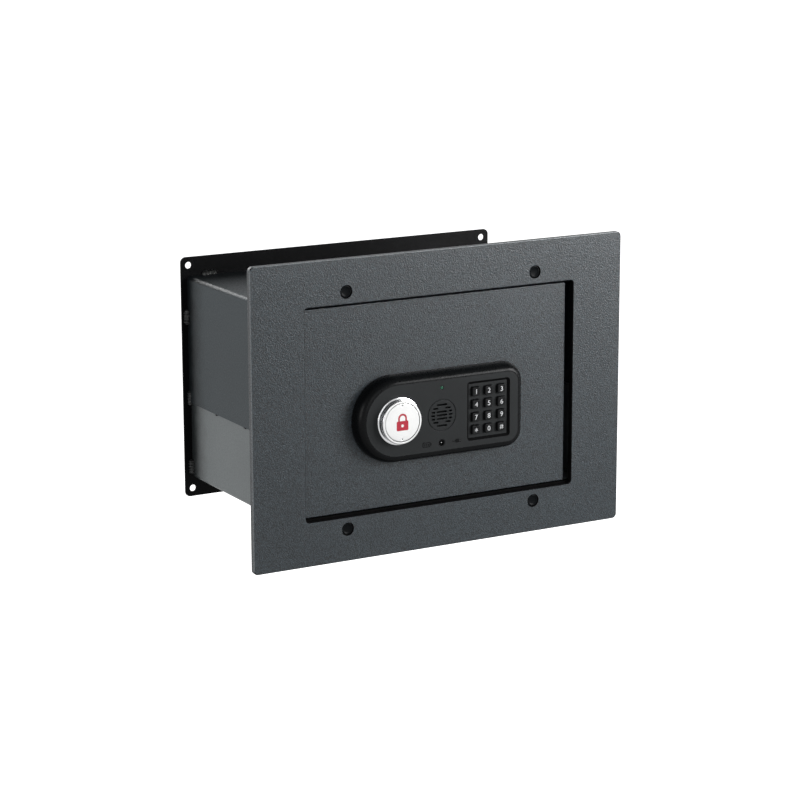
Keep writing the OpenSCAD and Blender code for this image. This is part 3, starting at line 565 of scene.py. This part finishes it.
def shell_outline(w, z_end, z_edge):
    """A bent sheet open on one side, from its closed end at z_end to its two free edges at z_edge."""
    up = 1 if z_end > z_edge else -1

    def outline(inset):
        points = []
        for r, x, z in ((BEND_R, w / 2, abs(z_end)),
                        (BEND_R - SHEET, w / 2 - SHEET, abs(z_end) - SHEET)):
            d = inset if r == BEND_R else -inset
            path = [(x - d, up * z_edge + inset)]
            path += arc(x - r, z - r, r - d, 0, 90, 10)
            path += arc(-x + r, z - r, r - d, 90, 180, 10)
            path += [(-x + d, up * z_edge + inset)]
            points += path if r == BEND_R else path[::-1]
        return [(x, up * z) for x, z in points]
    return outline


def make_body_shells():
    upper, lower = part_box("body_upper_shell"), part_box("body_lower_shell")
    # The lower shell takes the lighter copy of the coat, a painted reflection of the floor below
    for name, (low, high), z_end, z_edge, finish in (
        ("body_upper_shell", upper, upper[1].z, upper[0].z, "body"),
        ("body_lower_shell", lower, lower[0].z, upper[0].z + LAP, "body_painted_lighter"),
    ):
        bm = bmesh.new()
        outline = shell_outline(high.x - low.x, z_end, z_edge)
        slab(bm, outline, [], low.y, high.y, SHELL_RIM, band=SHADE_BAND)
        # The front edges and the walls just inside are painted near-black: painted shade of the dark
        # opening behind the door
        for face in bm.faces:
            at = face.calc_center_median()
            inside = abs(at.x) < high.x - SHEET * 0.7 and abs(at.z) < abs(z_end) - SHEET * 0.7
            if at.y < low.y + 0.5 * MM or (inside and at.y < low.y + SHADE_BAND):
                face.material_index = 1
        piece(name + "_finished", bm, "safe_body",
              [FINISH[finish], FINISH["painted_shade"]], [name])


def make_rear_plate():
    low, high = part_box("rear_plate")
    bm = bmesh.new()
    holes = []
    for sx in (-1, 1):
        for sz in (-1, 1):
            x, z = sx * (high.x - ANCHOR_INSET), sz * (high.z - ANCHOR_INSET)
            holes.append(circle(x, z, ANCHOR_R, 40))
    outline = rounded_rect(0, 0, high.x - low.x, high.z - low.z, REAR_CORNER)
    slab(bm, outline, holes, low.y, high.y, 0.3 * MM)
    piece("rear_plate_finished", bm, "safe_body", [FINISH["black"]], ["rear_plate"])


def bead_rows(low, high, seed):
    """Rings of a stitch weld that lies in the corner between the body and the rear plate."""
    noise = random.Random(seed)
    upright = high.z - low.z > high.x - low.x
    length = (high.z - low.z) if upright else (high.x - low.x)
    leg = high.y - low.y
    out = 1 if (low.x + high.x if upright else low.z + high.z) > 0 else -1
    side = (low.x if out > 0 else high.x) if upright else (low.z if out > 0 else high.z)
    start = low.z if upright else low.x
    rows = []
    steps = 30
    for i in range(steps + 1):
        along = i / steps
        swell = min(1, math.sin(math.pi * along) * 2.2) ** 0.5
        ripple = 0.80 + 0.20 * abs(math.sin(along * math.pi * 5.5 + seed)) - noise.uniform(0, 0.06)
        r = leg * max(0.25, swell) * ripple
        ring = [(0.0, 0.0)]
        for t in quarter(8):
            lump = 1 - noise.uniform(0, 0.14)
            ring.append((r * lump * math.cos(t), r * lump * math.sin(t)))
        row = []
        for a, b in ring:
            across, forward, distance = side + out * a, high.y - b, start + along * length
            row.append((across, forward, distance) if upright else (distance, forward, across))
        rows.append(row)
    return rows


def make_welds():
    bm = bmesh.new()
    for seed, (low, high) in enumerate(solids("weld_beads")):
        # A solid deeper than this is a blob of weld, and not a stitch
        if high.y - low.y > BLOB_DEPTH:
            ball = bmesh.ops.create_icosphere(bm, subdivisions=3, radius=1)
            noise = random.Random(seed)
            size = (high - low) / 2
            centre = (high + low) / 2
            for vert in ball["verts"]:
                lump = 0.92 + 0.08 * math.sin(9 * vert.co.y + seed) * math.cos(5 * vert.co.z)
                lump -= noise.uniform(0, 0.03)
                vert.co = centre + Vector([c * s * lump for c, s in zip(vert.co, size)])
            continue
        rows = [[bm.verts.new(spot) for spot in row] for row in bead_rows(low, high, seed)]
        walls(bm, rows)
        bm.faces.new(rows[0])
        bm.faces.new(rows[-1])
    piece("weld_beads_finished", bm, "safe_body",
          [FINISH["weld"]], ["weld_beads"], sharp=70)


# ---------- Door ----------

def make_door_plate():
    low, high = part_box("door_plate")
    bush = middle("spindle_bush")
    holes = [circle(bush.x, bush.z, BUSH_HOLE_R)]
    for a, b in solids("escutcheon_studs"):
        holes.append(circle((a.x + b.x) / 2, (a.z + b.z) / 2, STUD_HOLE_R, 24))
    bm = bmesh.new()
    outer = rounded_rect((low.x + high.x) / 2, 0, high.x - low.x, high.z - low.z, 1.5 * MM)
    slab(bm, outer, holes, low.y, high.y, 0.7 * MM)
    piece("door_plate_finished", bm, "door",
          [FINISH["graphite"]], ["door_plate"])


def esc_outline(low, high):
    """The escutcheon's outline: round at the left, two rounded corners at the right."""
    z = (low.z + high.z) / 2
    end_r = (high.z - low.z) / 2
    dz = end_r - ESC_CORNER

    def outline(inset):
        points = arc(high.x - ESC_CORNER, z + dz, ESC_CORNER - inset, 0, 90, 24)
        points += arc(low.x + end_r, z, end_r - inset, 90, 270, 72)
        points += arc(high.x - ESC_CORNER, z - dz, ESC_CORNER - inset, 270, 360, 24)
        return points
    return outline


def border(foot_y, top_y, inset):
    """Profile of the curved border, from the door up to the flat face."""
    shoulder = foot_y - ESC_STRAIGHT
    curve = [(inset + ESC_BORDER * (1 - math.cos(t)), shoulder - (shoulder - top_y) * math.sin(t))
             for t in quarter(16)]
    return [(inset, foot_y)] + curve


def grille_slots(x, z):
    """Seven rows of slots in a circle: whole, then with a solid middle, then split by two bars."""
    slots = []
    for row in range(-3, 4):
        dz = row * GRILLE_PITCH
        reach = math.sqrt(GRILLE_R ** 2 - dz ** 2)
        side_from = GRILLE_SOLID_HALF if abs(row) == 2 else GRILLE_MID_HALF + GRILLE_BAR
        if abs(row) != 2:
            slots.append((x, z + dz, 2 * min(reach, GRILLE_MID_HALF)))
        if abs(row) < 3:
            for side in (-1, 1):
                slots.append((x + side * (side_from + reach) / 2, z + dz, reach - side_from))
    return [rounded_rect(sx, sz, w, GRILLE_SLOT, 0.45 * MM, 3) for sx, sz, w in slots]


def key_nodes():
    return [f"key_{name}" for name in ("1", "2", "3", "4", "5", "6", "7", "8", "9", "star", "0", "hash")]


def make_escutcheon():
    low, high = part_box("escutcheon")
    top, foot = low.y, high.y
    knob, grille, light, jack = (middle(n) for n in ("knob", "speaker", "status_light", "power_jack"))
    keys = [middle(n) for n in key_nodes()]
    pitch_x, pitch_z = keys[1].x - keys[0].x, keys[0].z - keys[3].z
    pad_x, pad_z = keys[1].x, (keys[0].z + keys[9].z) / 2
    pocket_w, pocket_h = 3 * pitch_x + 5 * MM, 4 * pitch_z + 7.5 * MM
    pocket = rounded_rect(pad_x, pad_z, pocket_w, pocket_h, 3 * MM)

    bm = bmesh.new()
    inner = border(foot, top + ESC_WALL, ESC_WALL)[::-1]
    outer = border(foot, top, 0)
    housing = esc_outline(low, high)
    skin(bm, housing, inner, 1)
    skin(bm, housing, outer, 1)
    skin(bm, housing, [(ESC_WALL, foot), (0, foot)], 1)
    bmesh.ops.remove_doubles(bm, verts=bm.verts, dist=0.0005 * MM)
    # The fills need the rings, found by their places after the merge
    back_ring = ring_at(bm, housing(ESC_WALL + ESC_BORDER), top + ESC_WALL)
    front_ring = ring_at(bm, housing(ESC_BORDER), top)

    groove = circle(grille.x, grille.z, GROOVE_R + GROOVE_HALF, 80)
    clear = 0.2 * MM
    edge_r = 0.3 * MM
    holes = [circle(knob.x, knob.z, HUB_HOLE_R), circle(light.x, light.z, LIGHT_R + clear, 32),
             circle(jack.x, jack.z, JACK_R + clear, 40), pocket, groove]
    wall = [(edge_r * (1 - math.sin(t)), top + edge_r * (1 - math.cos(t))) for t in quarter(3)]
    straight = wall + [(0, top + ESC_WALL)]
    slope = wall + [(-POCKET_SLOPE, top + POCKET_DEPTH - 0.2 * MM), (-POCKET_SLOPE, top + ESC_WALL)]
    fronts, backs = [front_ring], [back_ring]
    for outline in holes:
        # The pocket's sloped walls are painted near-black: painted shade along the key pocket's edge
        sides = (slope, 2) if outline is pocket else (straight, 0)
        first, last = skin(bm, hole(outline), *sides)
        fronts.append(first)
        backs.append(last)
    cap(bm, fronts)
    cap(bm, backs)
    # Speaker grille: a disc with slots inside a fine groove
    slab(bm, circle(grille.x, grille.z, GROOVE_R - GROOVE_HALF, 80), grille_slots(grille.x, grille.z),
         top, top + ESC_WALL, 0.25 * MM)
    slab(bm, circle(grille.x, grille.z, GROOVE_R + GROOVE_HALF, 80),
         [circle(grille.x, grille.z, GROOVE_R - GROOVE_HALF - 0.1 * MM, 80)],
         top + 0.6 * MM, top + ESC_WALL, 0.02 * MM)
    # Floor of the key pocket
    floor = rounded_rect(pad_x, pad_z, pocket_w + 3 * MM, pocket_h + 3 * MM, 3 * MM)
    window = KEY_SIZE + KEY_GAP
    windows = [rounded_rect(k.x, k.z, window, window, 1.5 * MM, 5) for k in keys]
    slab(bm, floor, windows, top + POCKET_DEPTH, top + POCKET_DEPTH + POCKET_FLOOR, 0.2 * MM)
    piece("escutcheon_finished", bm, "door",
          [FINISH["plastic"], FINISH["plastic_gloss"], FINISH["painted_shade"]], ["escutcheon"], sharp=50)


def ring_at(bm, points, y):
    """The vertices at these outline points."""
    spots = {tuple(round(c / (0.001 * MM)) for c in v.co): v for v in bm.verts}
    found = []
    for x, z in points:
        key = tuple(round(c / (0.001 * MM)) for c in (x, y, z))
        match = [spots.get((key[0] + a, key[1], key[2] + b)) for a in (0, -1, 1) for b in (0, -1, 1)]
        vert = next(v for v in match if v is not None)
        if not found or found[-1] is not vert:
            found.append(vert)
    return found


CHARACTERS = {"key_star": "*", "key_hash": "#"}


def glyph(text, x, y, z, height, body, name):
    """A character printed on a key, thin and flat, that faces -Y."""
    curve = bpy.data.curves.new(name, "FONT")
    curve.body = text
    curve.size = height
    curve.align_x = "CENTER"
    curve.extrude = 0.06 * MM
    curve.resolution_u = 6
    letter = bpy.data.objects.new(name, curve)
    bpy.context.scene.collection.objects.link(letter)
    bpy.context.view_layer.update()
    mesh = bpy.data.meshes.new_from_object(letter.evaluated_get(bpy.context.evaluated_depsgraph_get()))
    bpy.data.objects.remove(letter)
    bm = bmesh.new()
    bm.from_mesh(mesh)
    bpy.data.meshes.remove(mesh)
    bmesh.ops.remove_doubles(bm, verts=bm.verts, dist=0.001 * MM)
    xs, ys = [v.co.x for v in bm.verts], [v.co.y for v in bm.verts]
    mid_x, mid_y = (min(xs) + max(xs)) / 2, (min(ys) + max(ys)) / 2
    for vert in bm.verts:
        vert.co = Vector((vert.co.x - mid_x + x, y - vert.co.z, vert.co.y - mid_y + z))
    piece(name, bm, body, [FINISH["print"]], sharp=30)


def make_keys():
    for node in key_nodes():
        low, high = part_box(node)
        at = (low + high) / 2
        flange = (high.x - low.x - KEY_SIZE) / 2
        tip = low.y
        outline = rounded_rect(at.x, at.z, KEY_SIZE, KEY_SIZE, 1.4 * MM, 6)
        flange_front = high.y - 0.8 * MM
        profile = [(-flange, high.y), (-flange, flange_front), (0, flange_front), (0, tip + 1.5 * MM)]
        profile += [(0.15 * MM, tip + 1.3 * MM), (0.3 * MM, tip + 0.8 * MM)]
        profile += [(0.3 * MM + 0.7 * MM * (1 - math.cos(t)), tip + 0.7 * MM * (1 - math.sin(t)))
                    for t in quarter(5)[1:]]
        bm = bmesh.new()
        first, last = skin(bm, outline, profile)
        cap(bm, [first])
        # A shallow dish in the key's top
        rings = [last]
        for share in (0.8, 0.55, 0.3, 0.12):
            dip = 0.22 * MM * (1 - share ** 2)
            spots = [(at.x + (v.co.x - at.x) * share, at.z + (v.co.z - at.z) * share) for v in last]
            rings.append([bm.verts.new((x, tip + dip, z)) for x, z in spots])
        walls(bm, rings)
        bm.faces.new(rings[-1])
        piece(node + "_cap", bm, node, [FINISH["rubber"]], [node], sharp=50)
        glyph(CHARACTERS.get(node, node[-1]), at.x, tip + 0.10 * MM, at.z,
              STAR_H if node == "key_star" else GLYPH_H, node, node + "_print")


def make_panel_parts():
    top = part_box("escutcheon")[0].y
    low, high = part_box("status_light")
    at = (low + high) / 2
    bm = bmesh.new()
    lathe(bm, [(0, high.y), (LIGHT_R, high.y), (LIGHT_R, low.y + 0.5 * MM),
               (LIGHT_R - 0.3 * MM, low.y + 0.15 * MM), (LIGHT_R / 2, low.y + 0.02 * MM), (0, low.y)],
          at.x, at.z, 32, closed=False)
    piece("status_light_finished", bm, "door", [FINISH["green"]], ["status_light"])

    low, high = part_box("power_jack")
    at = (low + high) / 2
    bm = bmesh.new()
    lathe(bm, [(JACK_BORE_R, high.y), (JACK_R, high.y), (JACK_R, low.y + 0.3 * MM),
               (JACK_R - 0.3 * MM, low.y), (JACK_BORE_R + 0.3 * MM, low.y),
               (JACK_BORE_R, low.y + 0.4 * MM)],
          at.x, at.z, 40)
    lathe(bm, [(0, high.y), (JACK_PIN_R, high.y), (JACK_PIN_R, low.y + 1.4 * MM),
               (JACK_PIN_R - 0.3 * MM, low.y + 1 * MM), (0, low.y + 0.9 * MM)],
          at.x, at.z, 20, material=1, closed=False)
    piece("power_jack_finished", bm, "door", [FINISH["plastic_gloss"], FINISH["steel"]],
          ["power_jack"])

    # Moulded pictograms beside the jack: a battery and a plug
    bm = bmesh.new()
    unit = MARK_UNIT

    def mark(x, z, w, h, r, holes=()):
        outline = rounded_rect(x, z, w * unit, h * unit, r * unit, 3)
        slab(bm, outline, holes, top - MARK_PROUD, top + 0.1 * MM, 0.05 * MM)

    x, z = at.x - MARK_X, at.z
    mark(x, z, 6.4, 3.6, 0.5, [rounded_rect(x, z, 5.2 * unit, 2.4 * unit, 0.2 * unit, 3)])
    mark(x + 3.7 * unit, z, 0.7, 1.6, 0.15)
    for k in (-1, 0, 1):
        mark(x + 1.6 * unit * k, z, 0.8, 1.4, 0.1)
    x = at.x + MARK_X
    mark(x, z, 3.0, 2.8, 0.8)
    for side in (-1, 1):
        mark(x + 2.4 * unit, z + side * 0.8 * unit, 1.8, 0.5, 0.15)
    mark(x - 2.9 * unit, z, 2.6, 0.6, 0.2)
    piece("panel_pictograms", bm, "door", [FINISH["plastic_gloss"]])


# ---------- Knob ----------

def make_knob():
    x, z = knob_at.x, knob_at.z
    front, back = knob_low.y, knob_high.y
    disc_r = (knob_high.x - knob_low.x) / 2
    disc_back = front + KNOB_DISC
    edge_r = 1.1 * MM
    cap_low, cap_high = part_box("knob_cap")
    cap_r = (cap_high.x - cap_low.x) / 2
    recess = cap_r + CAP_GAP
    floor = cap_high.y + 0.1 * MM
    bm = bmesh.new()
    profile = [(SPINDLE_R, back), (KNOB_NECK_R, back), (KNOB_NECK_R, disc_back + 0.6 * MM),
               (KNOB_NECK_R + 0.5 * MM, disc_back), (disc_r - 0.4 * MM, disc_back),
               (disc_r, disc_back - 0.4 * MM)]
    profile += [(disc_r - edge_r * (1 - math.cos(t)), front + edge_r * (1 - math.sin(t)))
                for t in quarter(6)]
    profile += [(recess + 0.35 * MM, front), (recess + 0.1 * MM, front + 0.1 * MM),
                (recess, front + 0.4 * MM), (recess, floor), (SPINDLE_R, floor)]
    lathe(bm, profile, x, z, 128)
    # A dark line round the cap's seat, painted shade in the seam, and a satin front
    for face in bm.faces:
        at = face.calc_center_median()
        r = math.hypot(at.x - x, at.z - z)
        if recess - 0.1 * MM < r < recess + 0.36 * MM and at.y < floor:
            face.material_index = 1
        elif at.y < front + 0.05 * MM:
            face.material_index = 2
    piece("knob_finished", bm, "knob",
          [FINISH["chrome"], FINISH["groove"], FINISH["satin"]], ["knob"])

    bm = bmesh.new()
    pins = [circle(x, z + side * PIN_OFFSET, PIN_R, 20) for side in (-1, 1)]
    slab(bm, circle(x, z, cap_r, 128), pins, cap_low.y + SIGN_T, cap_high.y, CAP_RIM)
    piece("knob_cap_finished", bm, "knob_cap", [FINISH["satin"]], ["knob_cap"])

    # A plain padlock sign on the cap, where such safes carry a maker's sign
    bm = bmesh.new()
    y0, y1, rim_r = cap_low.y, cap_low.y + SIGN_BACK, 0.02 * MM
    lock_z = z - 3.2 * MM
    slab(bm, rounded_rect(x, lock_z, 13 * MM, 9.6 * MM, 1.2 * MM, 5), [circle(x, lock_z, 1.5 * MM, 24)],
         y0, y1, rim_r)
    over, under, spring_z, foot_z = 4.9 * MM, 3.0 * MM, z + 4.0 * MM, z + 1.5 * MM

    def shackle(inset):
        outer = arc(x, spring_z, over - inset, 0, 180, 20)
        inner = arc(x, spring_z, under + inset, 180, 0, 20)
        return ([(x + over - inset, foot_z)] + outer + [(x - over + inset, foot_z)]
                + [(x - under - inset, foot_z)] + inner + [(x + under + inset, foot_z)])
    slab(bm, shackle, [], y0, y1, rim_r)
    piece("cap_sign", bm, "knob_cap", [FINISH["red_print"]])

    low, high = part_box("knob_base_ring")
    r = (high.x - low.x) / 2
    bm = bmesh.new()
    lathe(bm, [(RING_BORE_R, high.y), (r, high.y), (r, low.y + 1.2 * MM),
               (r - 0.5 * MM, low.y + 0.35 * MM), (r - 1.3 * MM, low.y),
               (RING_BORE_R + 0.4 * MM, low.y), (RING_BORE_R, low.y + 0.4 * MM)],
          x, z, 128)
    piece("knob_base_ring_finished", bm, "door", [FINISH["chrome"]], ["knob_base_ring"])


# ---------- Inside ----------

def make_inside():
    # Node, slot, finish and the width of the rounding in millimetres
    for node, slot, finish, width in (
        ("bolt_strike", "zinc_plate", "zinc", 0.4),
        ("hinge_brackets", "zinc_plate", "zinc", 0.4),
        ("hinge_blocks", "zinc_plate", "zinc", 0.4),
        # The inner cover takes the lighter copy of the body coat, with its painted reflected light
        ("inner_cover", "grey_powder_coat", "body_painted_lighter", 0.35),
        ("bolt_guide", "zinc_plate", "zinc", 0.4),
        ("cover_screws", "zinc_plate", "zinc", 0.3),
        ("locking_bolts", "bright_steel", "steel", 0.3),
        ("battery_cover", "black_plastic", "plastic", 0.25),
        ("battery_box", "black_plastic", "plastic", 0.25),
        ("floor_mat", "felt", "felt", 0.5),
        ("bolt_carriage", "zinc_plate", "zinc", 0.25),
        ("solenoid_frame", "zinc_plate", "zinc", 0.25),
    ):
        softened(node, FINISH[finish], width * MM)
    # Nodes whose shape stays as it is
    for node, finish in (
        ("hinge_pins", "steel"), ("hinge_washers", "brass"), ("spindle_bush", "nylon"),
        ("speaker", "dark"), ("keypad_mat", "silicone"), ("circuit_board", "board"),
        ("escutcheon_studs", "zinc"), ("escutcheon_nuts", "zinc"), ("guide_studs", "steel"),
        ("guide_nuts", "zinc"), ("batteries", "wrap"), ("battery_contacts", "steel"),
        ("reset_switch", "plastic"), ("reset_button", "button"), ("solenoid_coil", "copper"),
        ("solenoid_plunger", "steel"), ("cable_harness", "wire"), ("bolt_screws", "zinc"),
        ("spindle", "zinc"), ("pinion", "brass"), ("spindle_nut", "zinc"),
        ("key_cylinder", "brass"), ("key_plug", "brass"),
    ):
        for slot in frame["nodes"][node].material_slots:
            slot.material = FINISH[finish]


# ---------- Stage, light and camera ----------

def make_stage():
    bpy.ops.mesh.primitive_plane_add(size=60, location=(0, 12, FLOOR_Z))
    floor = bpy.context.object
    floor.name = "floor"
    white = Finish("pale_floor", (0.92, 0.92, 0.92), 0.9, specular=0.1)
    white.tint(white.noise(0.8, 2), 0.99, 1.0)
    white.set("Emission Color", (1, 1, 1, 1))
    white.set("Emission Strength", 1.0)
    floor.data.materials.append(white.material)
    floor.visible_diffuse = False
    floor.visible_glossy = False


def area_light(name, place, aim, size, power):
    data = bpy.data.lights.new(name, "AREA")
    data.energy = power
    data.size = size
    light = bpy.data.objects.new(name, data)
    light.location = place
    light.rotation_euler = (Vector(aim) - Vector(place)).to_track_quat("-Z", "Y").to_euler()
    bpy.context.scene.collection.objects.link(light)


def make_light():
    """A white backdrop for the camera; a studio that is brighter behind the safe lights it."""
    world = bpy.data.worlds.new("studio")
    world.use_nodes = True
    nodes, links = world.node_tree.nodes, world.node_tree.links
    room = nodes["Background"]
    backdrop = nodes.new("ShaderNodeBackground")
    backdrop.inputs["Color"].default_value = (1, 1, 1, 1)
    split = nodes.new("ShaderNodeSeparateXYZ")
    links.new(nodes.new("ShaderNodeTexCoord").outputs["Generated"], split.inputs[0])

    def by_direction(axis, stops):
        half = nodes.new("ShaderNodeMath")
        half.operation = "MULTIPLY_ADD"
        half.inputs[1].default_value = half.inputs[2].default_value = 0.5
        links.new(split.outputs[axis], half.inputs[0])
        return grey_ramp(nodes, links, half.outputs[0], stops)

    by_height = by_direction("Z", [(0.0, 0.50), (0.35, 1.0), (0.5, 1.0), (0.65, 0.6), (1.0, 0.35)])
    by_depth = by_direction("Y", [(0.0, 0.87), (0.4, 0.66), (0.6, 0.7), (0.8, 1.0)])
    level = multiplier(nodes)
    links.new(by_height, level.inputs["A"])
    links.new(by_depth, level.inputs["B"])
    links.new(level.outputs["Result"], room.inputs["Color"])
    room.inputs["Strength"].default_value = 1.0
    path = nodes.new("ShaderNodeLightPath")
    choose = nodes.new("ShaderNodeMixShader")
    links.new(path.outputs["Is Camera Ray"], choose.inputs["Fac"])
    links.new(room.outputs[0], choose.inputs[1])
    links.new(backdrop.outputs[0], choose.inputs[2])
    links.new(choose.outputs[0], nodes["World Output"].inputs["Surface"])
    bpy.context.scene.world = world
    area_light("key_light", (1.02, -1.15, 0.46), (0.12, -0.2, 0.08), 0.75, 26)
    area_light("left_light", (-2.2, -0.5, 0.5), (-0.1, -0.1, 0), 1.2, 10)
    area_light("rim_light", (-0.5, 1.7, 1.05), (-0.1, -0.1, 0.1), 1.1, 24)
    area_light("fill_light", (-0.5, -2.4, 0.9), (0, -0.1, 0), 1.2, 6)
    bpy.context.scene.view_settings.view_transform = "Standard"


def make_camera():
    """Stands to the left of the front and above it, with a long lens."""
    data = bpy.data.cameras.new("camera")
    data.lens = LENS_MM
    data.sensor_width = SENSOR_MM
    data.clip_end = 100
    camera = bpy.data.objects.new("camera", data)
    camera.location = CAMERA_PLACE
    yaw, pitch, roll = (math.radians(turn) for turn in (CAMERA_YAW, CAMERA_PITCH, CAMERA_ROLL))
    turn = Matrix.Rotation(-yaw, 4, "Z") @ Matrix.Rotation(math.pi / 2 - pitch, 4, "X")
    camera.rotation_euler = (turn @ Matrix.Rotation(roll, 4, "Z")).to_euler()
    bpy.context.scene.collection.objects.link(camera)
    bpy.context.scene.camera = camera


make_camera()
make_front_plate()
make_plugs()
make_body_shells()
make_rear_plate()
make_welds()
make_door_plate()
make_escutcheon()
make_keys()
make_panel_parts()
make_knob()
make_inside()
make_stage()
make_light()
